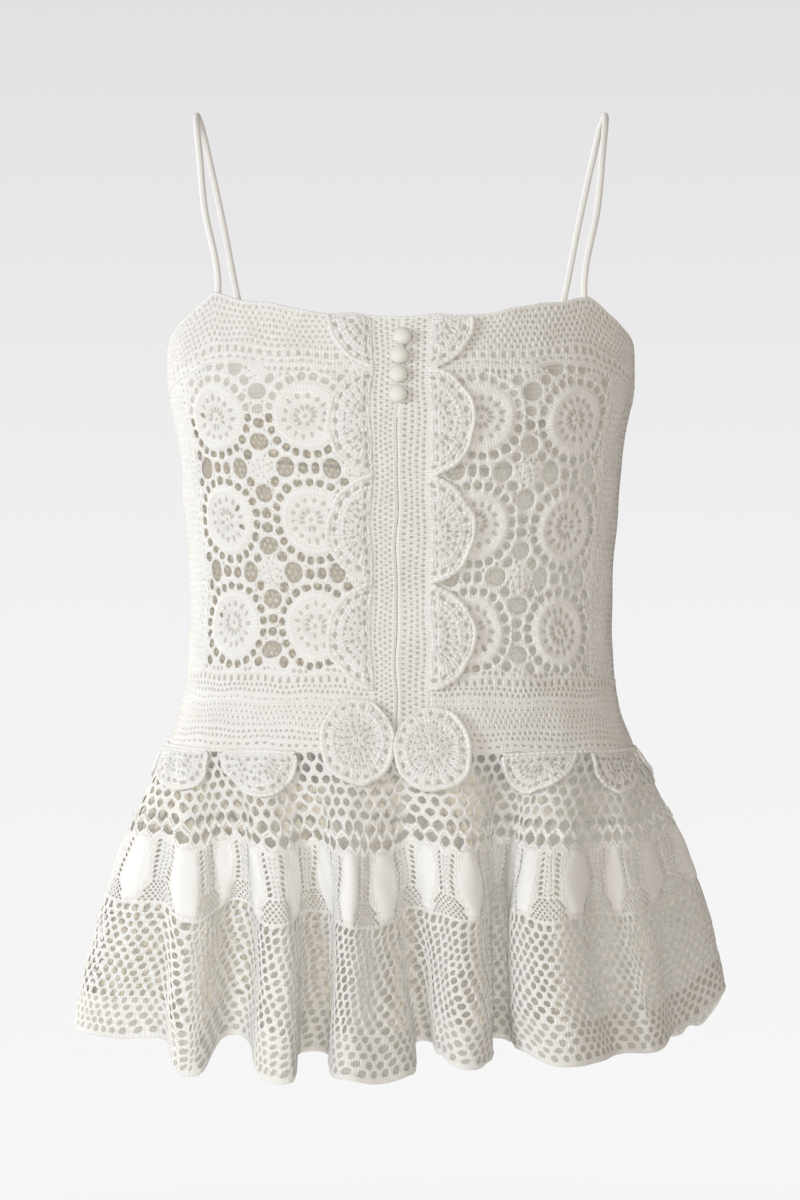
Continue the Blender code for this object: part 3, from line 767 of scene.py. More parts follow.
class Shell:
    """Collects strips of openwork, each a closed lens between an outer and an inner face, into one mesh."""

    def __init__(self):
        self.co, self.quv, self.tuv, self.quads, self.tris, self.rim, self.qs, self.ts = [], [], [], [], [], [], [], []
        self.n, self.flat = 0, 0.0

    def add(self, place, h, lift, quads, tris, uv, flip=False, slot=None, tri_slot=None, outer=None):
        """place(out) gives the points moved out by out. h is the half thickness, and lift moves both faces.

        uv is for each point, or for each corner of the triangles. slot is for each point, and tri_slot for each triangle.
        outer gives a triangle slot and the slot that the outer face has instead."""
        h = np.asarray(h, float)
        n = len(h)
        front = place(lift + h)
        back = place(lift - h)
        # the cloth's own area, with the holes left out
        middle = (front + back) / 2
        for a, b, c in ((0, 1, 2), (0, 2, 3)):
            if len(quads):
                self.flat += np.linalg.norm(np.cross(middle[quads[:, b]] - middle[quads[:, a]], middle[quads[:, c]] - middle[quads[:, a]]), axis=1).sum() / 2
        if len(tris):
            self.flat += np.linalg.norm(np.cross(middle[tris[:, 1]] - middle[tris[:, 0]], middle[tris[:, 2]] - middle[tris[:, 0]]), axis=1).sum() / 2
        two = h > 0
        rank = np.cumsum(two) - 1
        other = np.where(two, n + rank, np.arange(n))
        co = np.concatenate([front, back[two]])
        quads, tris = np.asarray(quads, int).reshape(-1, 4), np.asarray(tris, int).reshape(-1, 3)
        slot = np.zeros(n, int) if slot is None else slot
        tri_slot = np.zeros(len(tris), int) if tri_slot is None else np.asarray(tri_slot)
        tri_slot = np.maximum(slot[tris].min(1), tri_slot) if len(tris) else tri_slot
        corners = uv if uv.ndim == 3 else uv[tris]
        if flip:
            quads, tris, corners = quads[:, ::-1], tris[:, ::-1], corners[:, ::-1]
        self.co.append(co)
        self.tuv.append(np.concatenate([corners, corners[:, ::-1]]).reshape(-1, 2))
        if len(quads):
            self.quv.append(np.concatenate([uv[quads], uv[quads[:, ::-1]]]).reshape(-1, 2))
        self.quads.append(np.concatenate([quads, other[quads][:, ::-1]]) + self.n)
        self.tris.append(np.concatenate([tris, other[tris][:, ::-1]]) + self.n)
        self.rim.append(np.concatenate([~two, np.zeros(two.sum(), bool)]))
        self.qs.append(np.tile(slot[quads].min(1) if len(quads) else np.zeros(0, int), 2))
        outside = tri_slot if outer is None else np.where(tri_slot == outer[0], outer[1], tri_slot)
        self.ts.append(np.concatenate([outside, tri_slot]))
        self.n += len(co)

    def build(self, name):
        return mesh_of(
            name,
            np.concatenate(self.co),
            np.concatenate(self.quads),
            np.concatenate(self.tris),
            rim=np.concatenate(self.rim),
            slots=np.concatenate(self.qs + self.ts),
            corner_uv=np.concatenate(self.quv + self.tuv),
        )


def tube(path, radius, sides=8, up=None, closed=False, bumps=0.0, period=0.0024, squash=1.0, ends=True):
    """Points, quads and triangles of a cord along a path; bumps swells it at each stitch."""
    path = np.asarray(path, float)
    n = len(path)
    along = np.roll(path, -1, 0) - np.roll(path, 1, 0)
    if not closed:
        along[0], along[-1] = path[1] - path[0], path[-1] - path[-2]
    along /= np.linalg.norm(along, axis=1)[:, None]
    if up is None:
        up = np.tile([0.0, 0.0, 1.0], (n, 1))
    up = np.asarray(up, float)
    side = np.cross(along, up)
    side /= np.linalg.norm(side, axis=1)[:, None] + 1e-12
    up = np.cross(side, along)
    run = np.concatenate([[0], np.cumsum(np.linalg.norm(np.diff(path, axis=0), axis=1))])
    r = radius * (1 + bumps * np.sin(2 * np.pi * run / period))
    if np.ndim(radius) == 0 and ends and not closed:
        r = r * np.clip(np.minimum(run, run[-1] - run) / radius + 0.35, 0.35, 1)
    turn = np.arange(sides) * 2 * np.pi / sides
    ring = side[:, None, :] * np.cos(turn)[None, :, None] + up[:, None, :] * (np.sin(turn) * squash)[None, :, None]
    co = path[:, None, :] + ring * r[:, None, None]
    i = np.arange(n if closed else n - 1)[:, None]
    k = np.arange(sides)[None, :]
    i1, k1 = (i + 1) % n, (k + 1) % sides
    quads = np.stack([i * sides + k, i * sides + k1, i1 * sides + k1, i1 * sides + k], -1).reshape(-1, 4)
    uv = np.stack(np.broadcast_arrays(run[:, None], (turn * radius if np.ndim(radius) == 0 else turn * 0.002)[None, :]), -1)
    co, uv = co.reshape(-1, 3), uv.reshape(-1, 2)
    tris = []
    if not closed:
        co = np.concatenate([co, path[:1], path[-1:]])
        uv = np.concatenate([uv, uv[:1], uv[-1:]])
        a, b = n * sides, n * sides + 1
        for k in range(sides):
            tris.append((a, (k + 1) % sides, k))
            tris.append((b, (n - 1) * sides + k, (n - 1) * sides + (k + 1) % sides))
    return co, quads, np.array(tris, int).reshape(-1, 3), uv


class Cords:
    def __init__(self):
        self.parts, self.n = [], 0

    def add(self, *args, **kw):
        co, quads, tris, uv = tube(*args, **kw)
        centre = co[quads].mean(1)
        self.parts.append((co, quads + self.n, tris + self.n, uv))
        self.n += len(co)

    def raw(self, co, quads, tris, uv):
        self.parts.append((co, np.asarray(quads, int).reshape(-1, 4) + self.n, np.asarray(tris, int).reshape(-1, 3) + self.n, uv))
        self.n += len(co)

    def build(self, name):
        co, quads, tris, uv = (np.concatenate(x) for x in zip(*self.parts))
        return mesh_of(name, co, quads, tris, uv, weld=0)


# ---------------------------------------------------------------- materials
def nodes_of(name):
    m = bpy.data.materials.new(name)
    m.use_nodes = True
    t = m.node_tree
    return m, t, t.nodes["Principled BSDF"]


def link(t, a, b):
    t.links.new(a, b)


def math_node(t, kind, a, b=None):
    n = t.nodes.new("ShaderNodeMath")
    n.operation = kind
    for i, x in enumerate((a, b)):
        if x is None:
            continue
        if isinstance(x, (int, float)):
            n.inputs[i].default_value = x
        else:
            link(t, x, n.inputs[i])
    return n.outputs[0]


def cotton(name, light, dark, stitch, rows, depth, rough=0.9, sheen=0.25, fibre=0.35, lumps=0.0):
    """Cotton yarn: stitches as posts of width stitch in rows of height rows, twisted fibres, and a colour mottled at
    random and darker between the posts and rows as painted shade.
    """
    m, t, shader = nodes_of(name)
    uv = t.nodes.new("ShaderNodeUVMap")
    uv.uv_map = "Stitch"
    split = t.nodes.new("ShaderNodeSeparateXYZ")
    link(t, uv.outputs[0], split.inputs[0])
    place = t.nodes.new("ShaderNodeTexCoord")
    wobble = t.nodes.new("ShaderNodeTexNoise")
    wobble.inputs["Scale"].default_value = 220
    wobble.inputs["Detail"].default_value = 1
    link(t, place.outputs["Object"], wobble.inputs["Vector"])
    shift = math_node(t, "MULTIPLY", math_node(t, "SUBTRACT", wobble.outputs["Fac"], 0.5), 0.0016)
    x = math_node(t, "ADD", split.outputs[0], shift)
    y = math_node(t, "ADD", split.outputs[1], shift)
    posts = math_node(t, "ABSOLUTE", math_node(t, "SINE", math_node(t, "MULTIPLY", x, math.pi / stitch)))
    lines = math_node(t, "ABSOLUTE", math_node(t, "SINE", math_node(t, "MULTIPLY", y, math.pi / rows)))
    lines = math_node(t, "POWER", lines, 0.4)
    relief = math_node(t, "MULTIPLY", math_node(t, "POWER", posts, 0.6), lines)
    fine = t.nodes.new("ShaderNodeTexNoise")
    fine.inputs["Scale"].default_value = 1500
    fine.inputs["Detail"].default_value = 2
    link(t, place.outputs["Object"], fine.inputs["Vector"])
    total = math_node(t, "ADD", relief, math_node(t, "MULTIPLY", fine.outputs["Fac"], fibre))
    if lumps:
        # the unevenness of the yarn from stitch to stitch
        lump = t.nodes.new("ShaderNodeTexNoise")
        lump.inputs["Scale"].default_value = 460
        lump.inputs["Detail"].default_value = 2
        link(t, place.outputs["Object"], lump.inputs["Vector"])
        total = math_node(t, "ADD", total, math_node(t, "MULTIPLY", lump.outputs["Fac"], lumps))
    bump = t.nodes.new("ShaderNodeBump")
    bump.inputs["Strength"].default_value = 0.8
    bump.inputs["Distance"].default_value = depth
    link(t, total, bump.inputs["Height"])
    link(t, bump.outputs[0], shader.inputs["Normal"])
    cloud = t.nodes.new("ShaderNodeTexNoise")
    cloud.inputs["Scale"].default_value = 38
    cloud.inputs["Detail"].default_value = 3
    link(t, place.outputs["Object"], cloud.inputs["Vector"])
    # the colour is mottled at random, and darker in the grooves between stitch posts and rows, which is painted shade
    tone_and_painted_shade = math_node(t, "ADD", math_node(t, "MULTIPLY", cloud.outputs["Fac"], 0.5), math_node(t, "MULTIPLY", relief, 0.55))
    tone_and_painted_shade = math_node(t, "ADD", tone_and_painted_shade, math_node(t, "MULTIPLY", math_node(t, "SUBTRACT", fine.outputs["Fac"], 0.5), 0.35))
    ramp = t.nodes.new("ShaderNodeValToRGB")
    ramp.color_ramp.elements[0].position = 0.18
    ramp.color_ramp.elements[0].color = (*dark, 1)
    ramp.color_ramp.elements[1].position = 0.72
    ramp.color_ramp.elements[1].color = (*light, 1)
    link(t, tone_and_painted_shade, ramp.inputs[0])
    link(t, ramp.outputs[0], shader.inputs["Base Color"])
    gloss = math_node(t, "ADD", math_node(t, "MULTIPLY", fine.outputs["Fac"], 0.12), rough - 0.06)
    link(t, gloss, shader.inputs["Roughness"])
    shader.inputs["Sheen Weight"].default_value = sheen
    shader.inputs["Sheen Roughness"].default_value = 0.55
    shader.inputs["Sheen Tint"].default_value = (1.0, 0.97, 0.92, 1)
    shader.inputs["Specular IOR Level"].default_value = 0.25
    return m


PALE, SHADE = (0.855, 0.852, 0.836), (0.735, 0.712, 0.660)
MESH_LOOK = cotton("cotton_mesh", PALE, SHADE, 0.0019, 0.0036, 0.00035, lumps=0.9)
YOKE_LOOK = cotton("cotton_yoke", PALE, SHADE, 0.0021, 0.0037, 0.00035, lumps=0.9)
WAIST_LOOK = cotton("cotton_waistband", PALE, SHADE, 0.0018, 0.0034, 0.00030, lumps=0.9)
LACE_LOOK = cotton("cotton_lace", (0.865, 0.862, 0.847), (0.765, 0.747, 0.705), 0.0018, 0.0042, 0.00030, lumps=1.6)
TRIM_LOOK = cotton("cotton_trim", (0.87, 0.868, 0.855), (0.775, 0.758, 0.720), 0.0022, 0.0030, 0.00055, lumps=3.2)
CORD_LOOK = cotton("cotton_cord", (0.87, 0.868, 0.852), (0.77, 0.748, 0.700), 0.0034, 0.0028, 0.00030, lumps=1.4)
PEPLUM_LOOK = cotton("cotton_peplum", (0.86, 0.856, 0.84), (0.745, 0.722, 0.672), 0.0017, 0.0050, 0.00032, lumps=1.8)
LEAF_LOOK = cotton("cotton_leaf", (0.885, 0.884, 0.878), (0.845, 0.838, 0.815), 0.0013, 0.0016, 0.00006, 0.85, 0.3, 0.2)
# films that close holes: darker cotton, painted shade for the dim inside seen through a hole
HOLLOW_PAINTED_SHADE = cotton("cotton_hollow", (0.555, 0.540, 0.500), (0.450, 0.432, 0.388), 0.0017, 0.0030, 0.00020)
PALE_HOLLOW_PAINTED_SHADE = cotton("hollow_painted_shade_pale", (0.625, 0.611, 0.572), (0.515, 0.497, 0.453), 0.0017, 0.0030, 0.00020)
# the back's films from inside: darker than its cloth, painted shade for its holes
BACK_INNER_HOLLOW_PAINTED_SHADE = cotton("hollow_painted_shade_back_inner", (0.800, 0.776, 0.718), (0.725, 0.698, 0.632), 0.0017, 0.0030, 0.00020)
# the back's cotton, inside and out, is paler than the front's: painted light for the inside seen through the front's
# holes
BACK_PAINTED_LIGHT_LOOK = cotton("back_cotton_painted_light", (0.890, 0.876, 0.838), (0.830, 0.812, 0.764), 0.0019, 0.0036, 0.00035, lumps=0.9)
# daylight comes through the thin back
for look, weight in ((BACK_INNER_HOLLOW_PAINTED_SHADE, 0.9), (BACK_PAINTED_LIGHT_LOOK, 0.6)):
    shader = look.node_tree.nodes["Principled BSDF"]
    shader.inputs["Subsurface Weight"].default_value = weight
    shader.inputs["Subsurface Radius"].default_value = (1.0, 0.88, 0.70)
    shader.inputs["Subsurface Scale"].default_value = 0.0025
# the back's films from outside: darker still, painted shade in its holes
BACK_OUTER_HOLLOW_PAINTED_SHADE = cotton("cotton_hollow_outside", (0.600, 0.584, 0.540), (0.500, 0.482, 0.436), 0.0017, 0.0030, 0.00020)
STRAP_LOOK = cotton("rouleau_satin", (0.865, 0.858, 0.842), (0.80, 0.788, 0.76), 0.0009, 0.0009, 0.00006, 0.62, 0.35, 0.15)
BUTTON_LOOK = cotton("covered_button_cloth", (0.84, 0.832, 0.79), (0.79, 0.78, 0.73), 0.0006, 0.0006, 0.00004, 0.5, 0.2, 0.1)

PIECES = []


def finish_piece(obj, look, node, slot, *more):
    for each in (look, *more):
        obj.data.materials.append(each)
    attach(obj, "root")
    if node:
        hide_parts(*([node] if isinstance(node, str) else node))
    PIECES.append(obj)
    return obj


# ---------------------------------------------------------------- the unevenness of hand work
def cloth(u, v, out):
    """The body's surface, a little uneven, and the same for every panel, so that their edges still meet."""
    u, v = np.broadcast_arrays(np.asarray(u, float), np.asarray(v, float))
    a = np.pi / 2 * u
    du = 0.0030 * np.sin(17 * a + 95 * v + 0.4) + 0.0016 * np.sin(34 * a - 170 * v + 2.1)
    dv = 0.00060 * np.sin(15 * a - 120 * v + 1.3) + 0.00030 * np.sin(31 * a + 210 * v + 0.2)
    lift = 0.00025 * np.sin(13 * a + 140 * v) + 0.00015 * np.sin(27 * a - 90 * v + 1.0)
    return body_out(u + du, v + dv, np.asarray(out) + lift)


def skirt(p, t, out):
    """The peplum's surface, a little uneven away from the seam."""
    p, t = np.broadcast_arrays(np.asarray(p, float), np.asarray(t, float))
    a = 2 * np.pi * p / REPEATS
    far = np.clip(t / 0.08, 0, 1)
    dp = far * (0.026 * np.sin(19 * a + 17 * t + 0.7) + 0.016 * np.sin(43 * a - 31 * t + 2.0))
    dt = far * (0.0034 * np.sin(23 * a - 13 * t + 1.1) + 0.0016 * np.sin(51 * a + 37 * t))
    lift = far * (0.0003 * np.sin(29 * a + 21 * t) + 0.0002 * np.sin(61 * a - 40 * t + 0.5))
    return peplum_out(p + dp, np.minimum(t + dt, 1.0), np.asarray(out) + lift)


# ---------------------------------------------------------------- body panels
top = lambda u: edge_at(u, 1)
foot = lambda u: edge_at(u, 2)
side = -0.0016
inner = PLACKET_HALF + GAP


def rows_of(count, high, hole=(0.50, 0.62), first=0, **kw):
    return [row(high, 2, (first + i) % 2, hole, **kw) for i in range(count)]


def body_net(name, ends, upper, lower, units, rows, thick, look, lift=0.0, wander=0.12, floor=0.0):
    A, B, H, quads, tris, slots = net(units, rows, thick, wander=wander, floor=floor)
    u, v = on_panel(*ends, upper, lower, A, B)
    uv = np.stack([u * quarter_length(v), v], 1)
    shell = Shell()
    back = "back" in name
    shell.add(lambda out: cloth(u, v, out), H, lift, quads, tris, uv, tri_slot=slots, outer=(1, 2) if back else None)
    # closed holes' films get painted shade: on the back a lighter one inside and a darker one on the outer face
    looks = (BACK_INNER_HOLLOW_PAINTED_SHADE, BACK_OUTER_HOLLOW_PAINTED_SHADE) if back else (PALE_HOLLOW_PAINTED_SHADE if "yoke" in name else HOLLOW_PAINTED_SHADE,)
    # the back's cloth is paler, painted light
    look = BACK_PAINTED_LIGHT_LOOK if back else look
    return finish_piece(shell.build(name.title().replace("_", "") + "Mesh"), look, name, "cotton_crochet", *looks)


YOKE_ROWS = (
    [row(1.2)]
    + rows_of(7, 3.7, (0.50, 0.66), power=2.2, mids=True)
    + [row(0.9, thick=0.0012)]
    + [row(5.2, 3, 0, (0.52, 0.80), 2.0, mids=True)]
    + [row(0.9, thick=0.0012)]
    + [row(3.2, 3, 1, (0.50, 0.50), mids=True)]
    + [row(1.6, thick=0.0012), row(0.8)]
)
WAIST_ROWS = (
    [row(1.6, thick=0.0012)]
    + [row(4.8, 3, 0, (0.48, 0.80), 2.0, mids=True)]
    + rows_of(2, 3.4, (0.54, 0.66), mids=True)
    + [row(1.6, thick=0.0011)]
    + [row(3.0, 3, 1, (0.34, 0.40))]
    + [row(1.6, thick=0.0011)]
    + rows_of(4, 3.6, (0.38, 0.50), mids=True)
    + [row(1.1)]
    + rows_of(2, 3.5, (0.46, 0.58), mids=True)
    + [row(1.2)]
    + [row(3.4, 3, 0, (0.58, 0.46))]
    + [row(2.2)]
)


def panel_ends(part):
    return {
        "front_right": (at_width(inner - 0.0010), fixed(1 - side)),
        "front_left": (fixed(-1 + side), at_width(-inner + 0.0010)),
        "back": (fixed(1 + side), fixed(3 - side)),
    }[part]


for part, units in (("front_right", 90), ("front_left", 90), ("back", 183)):
    body_net(
        "yoke_" + part, panel_ends(part), top, lambda u: foot(u) - 0.0014, units, YOKE_ROWS, 0.00095, YOKE_LOOK, 0.00035,
        floor=FLOOR,
    )
for part, units in (("front_right", 98), ("front_left", 98), ("back", 209)):
    body_net(
        "waistband_" + part, panel_ends(part), height(WAIST_TOP + 0.0014), height(SEAM - 0.0012), units, WAIST_ROWS, 0.00095,
        WAIST_LOOK, 0.00035, floor=FLOOR,
    )
BACK_ROWS = [row(1.2)] + rows_of(35, 3.8, (0.44, 0.54)) + [row(1.2)]
body_net(
    "bodice_back",
    panel_ends("back"),
    lambda u: foot(u) + 0.0006,
    height(WAIST_TOP - 0.0006),
    178,
    BACK_ROWS,
    0.00095,
    MESH_LOOK,
    floor=FLOOR,
)

# a thin cord of stitches finishes the neckline
u = np.linspace(-2, 2, 900, endpoint=False)
path = cloth(u, top(u) - 0.0004, np.full(len(u), 0.0002))
up = cloth(u, top(u) - 0.0004, np.full(len(u), 0.0012)) - path
cords = Cords()
cords.add(path, 0.00095, 6, up / np.linalg.norm(up, axis=1)[:, None], closed=True, bumps=0.10, period=0.0029)
NECK_CORD = finish_piece(cords.build("NecklineCord"), CORD_LOOK, None, "cotton_trim")

# ---------------------------------------------------------------- the placket's strips
for name, ends in (
    ("placket_right", (at_centre(GAP / 2), at_width(PLACKET_HALF + 0.0008))),
    ("placket_left", (at_width(-PLACKET_HALF - 0.0008), at_centre(-GAP / 2))),
):
    rows = [row(2.0, thick=0.0012)] + rows_of(4, 3.35, (0.54, 0.58), mids=True) + [row(2.2, thick=0.0012)]
    # its holes are closed by films in painted shade
    A, B, H, quads, tris, slots = net(154, rows, 0.00095, floor=FLOOR)
    across = B if name == "placket_right" else 1 - B
    u, v = on_panel(*ends, top, height(SEAM - 0.0008), across, A)
    uv = np.stack([v, u * quarter_length(v)], 1)
    shell = Shell()
    shell.add(lambda out: cloth(u, v, out), H, 0.00055, quads, tris, uv, flip=name == "placket_right", tri_slot=slots)
    finish_piece(shell.build(name.title().replace("_", "") + "Mesh"), MESH_LOOK, name, "cotton_crochet", HOLLOW_PAINTED_SHADE)

# ---------------------------------------------------------------- the bodice fronts: a lattice of medallions
FLAT_Q = 0.197          # metres for one unit of u in the flat pattern
MEDALLION_U = {1: (0.240, 0.562, 0.884), -1: (0.2855, 0.6025, 0.9195)}
MEDALLION_V = (-0.2000, -0.2648, -0.3295)
STEP_V = 0.0646


def jitter(amount):
    return 1 + RNG.uniform(-1, 1) * amount


def medallion(x, y):
    holes = [oval(x, y, 0.0014 * jitter(0.1), 0.0014 * jitter(0.1), sides=8)]
    phase = RNG.uniform(0, 0.5)
    for k in range(12):
        a = phase + 2 * np.pi * k / 12
        r = 0.0058 * jitter(0.05)
        holes.append(oval(x + r * np.cos(a), y + r * np.sin(a), 0.00215 * jitter(0.14), 0.00112 * jitter(0.14), a + RNG.uniform(-0.15, 0.15), 8))
    for k in range(14):
        a = phase + 2 * np.pi * (k + 0.5) / 14
        r = 0.0129 * jitter(0.04)
        holes.append(
            oval(x + r * np.cos(a), y + r * np.sin(a), 0.00205 * jitter(0.16), 0.00138 * jitter(0.18), a + RNG.uniform(-0.3, 0.3), 8)
        )
    for k in range(21):
        a = phase + 2 * np.pi * (k + 0.5) / 21
        r = 0.0243 * jitter(0.012)
        holes.append(
            oval(x + r * np.cos(a), y + r * np.sin(a), 0.00250 * jitter(0.07), 0.00262 * jitter(0.07), a + RNG.uniform(-0.2, 0.2), 10, 2.6)
        )
    return holes


SIDE_PANEL = {1: 0.715, -1: 0.750}      # where the lattice ends and the closely worked side begins


def bodice_lace(sign):
    step_u = abs(MEDALLION_U[sign][1] - MEDALLION_U[sign][0])
    us = [sign * q for q in MEDALLION_U[sign]]
    us = [us[0] - sign * step_u] + us[:2]
    vs = [MEDALLION_V[0] + STEP_V] + list(MEDALLION_V) + [MEDALLION_V[-1] - STEP_V]
    pitch_x = step_u * FLAT_Q
    big, small = [], []
    stations = []
    for uc in us:
        for vc in vs:
            small += medallion(uc * FLAT_Q, vc)
            stations.append((uc * FLAT_Q, vc))
    fills = []
    for i in range(len(us) + 1):
        for j in range(len(vs) + 1):
            x = (us[0] - sign * step_u / 2 + sign * step_u * i) * FLAT_Q
            y = vs[0] + STEP_V / 2 - STEP_V * j
            fills.append((x, y))

    def hole(x, y, rx, ry, turn=0.0, sides=12, power=2.0):
        rx, ry = rx * jitter(0.07), ry * jitter(0.07)
        big.append(oval(x, y, rx, ry, turn + RNG.uniform(-0.12, 0.12), sides, power))

    for x, y in fills:
        hole(x, y + 0.0166, 0.0064, 0.0057, sides=18)
        hole(x, y - 0.0166, 0.0064, 0.0057, sides=18)
        hole(x + 0.0162, y, 0.0060, 0.0067, sides=18)
        hole(x - 0.0162, y, 0.0060, 0.0067, sides=18)
        for k in range(4):
            a = np.pi / 4 + k * np.pi / 2
            hole(x + 0.0127 * np.cos(a), y + 0.0127 * np.sin(a), 0.0030, 0.0034, a)
        # the smaller holes between two large ones, up and down and across
        for d in (-1, 1):
            hole(x, y + d * (STEP_V / 2 - 0.0042), 0.0036, 0.0031, power=2.2)
            hole(x + d * (pitch_x / 2 - 0.0040), y, 0.0030, 0.0036, power=2.2)
        small.append(oval(x, y, 0.00085, 0.00085, sides=6))
        phase = RNG.uniform(0, 0.6)
        for k in range(8):
            a = phase + 2 * np.pi * k / 8
            r = 0.0058 * jitter(0.05)
            small.append(oval(x + r * np.cos(a), y + r * np.sin(a), 0.00085 * jitter(0.15), 0.00075 * jitter(0.15), a, 7))
        for k in range(4):
            a = phase + 2 * np.pi * k / 4
            small.append(oval(x + 0.0029 * np.cos(a), y + 0.0029 * np.sin(a), 0.0006, 0.0005, a, 6))
    holes = big + small
    # rows of small holes where the lattice meets the yoke and the waistband, and in any other solid corner
    limit = SIDE_PANEL[sign]
    for uc in np.arange(0.095, limit, 0.0205):
        for v, r in ((foot(np.array(sign * uc)) + 0.0006 - 0.0036, 0.00125), (WAIST_TOP - 0.0006 + 0.0038, 0.0013)):
            holes.append(oval(sign * uc * FLAT_Q, float(v), r * jitter(0.1), r * 1.1 * jitter(0.1), 0, 8, 2.4))
    gx, gy = np.meshgrid(np.arange(0.09, limit, 0.021), np.arange(-0.166, WAIST_TOP, -0.0042))
    for uc, v in zip(gx.ravel(), gy.ravel()):
        # the medallions' own rounds stay solid
        clear = min(math.hypot(sign * uc * FLAT_Q - cx, v - cy) for cx, cy in stations) > 0.0275
        if clear and v < foot(np.array(sign * uc)) - 0.004:
            x = sign * uc * FLAT_Q + RNG.uniform(-1, 1) * 0.0005
            holes.append(oval(x, v + RNG.uniform(-1, 1) * 0.0005, 0.0010 * jitter(0.2), 0.0011 * jitter(0.2), 0, 7))
    holes = [q for q in holes if sign * q[:, 0].mean() / FLAT_Q < limit]
    # the side is worked like the back, with its hollows closed by films in painted shade
    gx, gy = np.meshgrid(np.arange(limit + 0.014, 0.985, 0.0185), np.arange(-0.166, WAIST_TOP, -0.0038))
    gx = gx + (np.arange(gx.shape[0]) % 2)[:, None] * 0.00925
    for uc, v in zip(gx.ravel(), gy.ravel()):
        if v < foot(np.array(sign * uc)) - 0.001:
            x = sign * uc * FLAT_Q
            holes.append(oval(x, v, 0.00080 * jitter(0.1), 0.00092 * jitter(0.1), 0, 6))
    margin = 0.0022
    v_lowest = WAIST_TOP - 0.0006
    u_in, u_out = inner - 0.0010, 1 - side
    upper = lambda u: foot(u) + 0.0006
    clipped = []
    for h in holes:
        v = h[:, 1]
        across_sign = np.sign(h[:, 0].mean())
        if across_sign != sign and abs(h[:, 0].mean()) > 0.004:
            continue
        signed = sign * h[:, 0] / FLAT_Q
        v_hi = upper(np.clip(signed, 0, 1) * sign) - margin
        v_lo = v_lowest + margin
        v2 = np.minimum(np.maximum(v, v_lo), v_hi)
        lo = u_in / quarter_length(v2) + margin / FLAT_Q
        hi = u_out - 0.0014 / FLAT_Q
        s2 = np.clip(signed, lo, hi)
        q = np.stack([sign * s2 * FLAT_Q, v2], 1)
        if np.abs(q - h).max() > 1e-9:
            keep = [0]
            for i in range(1, len(q)):
                if np.linalg.norm(q[i] - q[keep[-1]]) > 0.0004:
                    keep.append(i)
            if len(keep) > 2 and np.linalg.norm(q[keep[-1]] - q[keep[0]]) < 0.0004:
                keep = keep[:-1]
            q = q[keep]
            if len(q) < 4:
                continue
            area, whole = (abs(np.cross(w, np.roll(w, -1, 0)).sum()) / 2 for w in (q, h))
            if area < 0.55 * whole or area < 2.6e-6 or np.ptp(q[:, 0]) < 0.0012 or np.ptp(q[:, 1]) < 0.0012:
                continue
        clipped.append(q)
    holes = settle(clipped, 0.00055)
    n = 40
    us_edge = np.linspace(0, 1, n)
    v_line = np.linspace(0, 1, n)
    corner = lambda v: u_in / quarter_length(v)
    v0 = float(upper(np.array(0.1 * sign)))
    start_u = float(corner(v0))
    us_top = start_u + (u_out - start_u) * us_edge
    top_line = np.stack([us_top, upper(us_top * sign)], 1)
    v1 = float(upper(np.array(u_out * sign)))
    right_line = np.stack([np.full(n, u_out), v1 + (v_lowest - v1) * v_line], 1)
    end_u = float(corner(v_lowest))
    low_line = np.stack([u_out + (end_u - u_out) * us_edge, np.full(n, v_lowest)], 1)
    v_back = v_lowest + (top_line[0, 1] - v_lowest) * v_line
    left_line = np.stack([corner(v_back), v_back], 1)
    outline = np.concatenate([top_line[:-1], right_line[:-1], low_line[:-1], left_line[:-1]])
    outline = np.stack([sign * outline[:, 0] * FLAT_Q, outline[:, 1]], 1)
    extra = []
    for x, y in stations:
        for r, count in ((0.0034, 14), (0.0100, 30), (0.0167, 36), (0.0192, 40), (0.0274, 46)):
            a = np.linspace(0, 2 * np.pi, count, endpoint=False)
            extra.append(np.stack([x + r * np.cos(a), y + r * np.sin(a)], 1))
    for x, y in fills:
        a = np.linspace(0, 2 * np.pi, 16, endpoint=False)
        extra.append(np.stack([x + 0.0080 * np.cos(a), y + 0.0080 * np.sin(a)], 1))

    # closed holes get films of a darker cotton, painted shade
    def shut(q):
        """The small stitch holes are hollows, as are the closely worked side's and the topmost ones."""
        size = abs((q[:, 0] * np.roll(q[:, 1], -1) - q[:, 1] * np.roll(q[:, 0], -1)).sum()) / 2
        high_up = q[:, 1].mean() > (-0.2015 if sign > 0 else -0.197)
        small_one = high_up or size < 10e-6
        return FLOOR if small_one or sign * q[:, 0].mean() / FLAT_Q > limit + 0.005 else 0.0

    verts, h, free, faces, slots = lace(outline, holes, 0.0012, 0.0014, 0.0028, np.concatenate(extra), floors=shut)
    # the medallions' solid rounds and the flowers stand a little proud
    centre = np.array(stations)
    d = np.linalg.norm(verts[:, None] - centre[None], axis=2)
    r = d.min(1)
    lift = 0.00045 * np.exp(-(((r - 0.0180) / 0.0030) ** 2)) + 0.00020 * np.exp(-(((r - 0.0100) / 0.0020) ** 2))
    lift += 0.00025 * np.exp(-(((r - 0.0272) / 0.0010) ** 2))
    df = np.linalg.norm(verts[:, None] - np.array(fills)[None], axis=2).min(1)
    lift += 0.0004 * np.exp(-((df / 0.0060) ** 4))
    h = np.where(h > 0, h + 0.35 * lift, 0)
    u, v = verts[:, 0] / FLAT_Q, verts[:, 1]
    uv = polar_uv(verts, faces, centre, 0.0272, 58)
    shell = Shell()
    shell.add(lambda out: cloth(u, v, out), h, lift, np.zeros((0, 4), int), faces, uv, tri_slot=slots)
    name = "bodice_front_" + ("right" if sign > 0 else "left")
    return finish_piece(shell.build(name.title().replace("_", "") + "Lace"), LACE_LOOK, name, "cotton_crochet", PALE_HOLLOW_PAINTED_SHADE)


for sign in (1, -1):
    bodice_lace(sign)


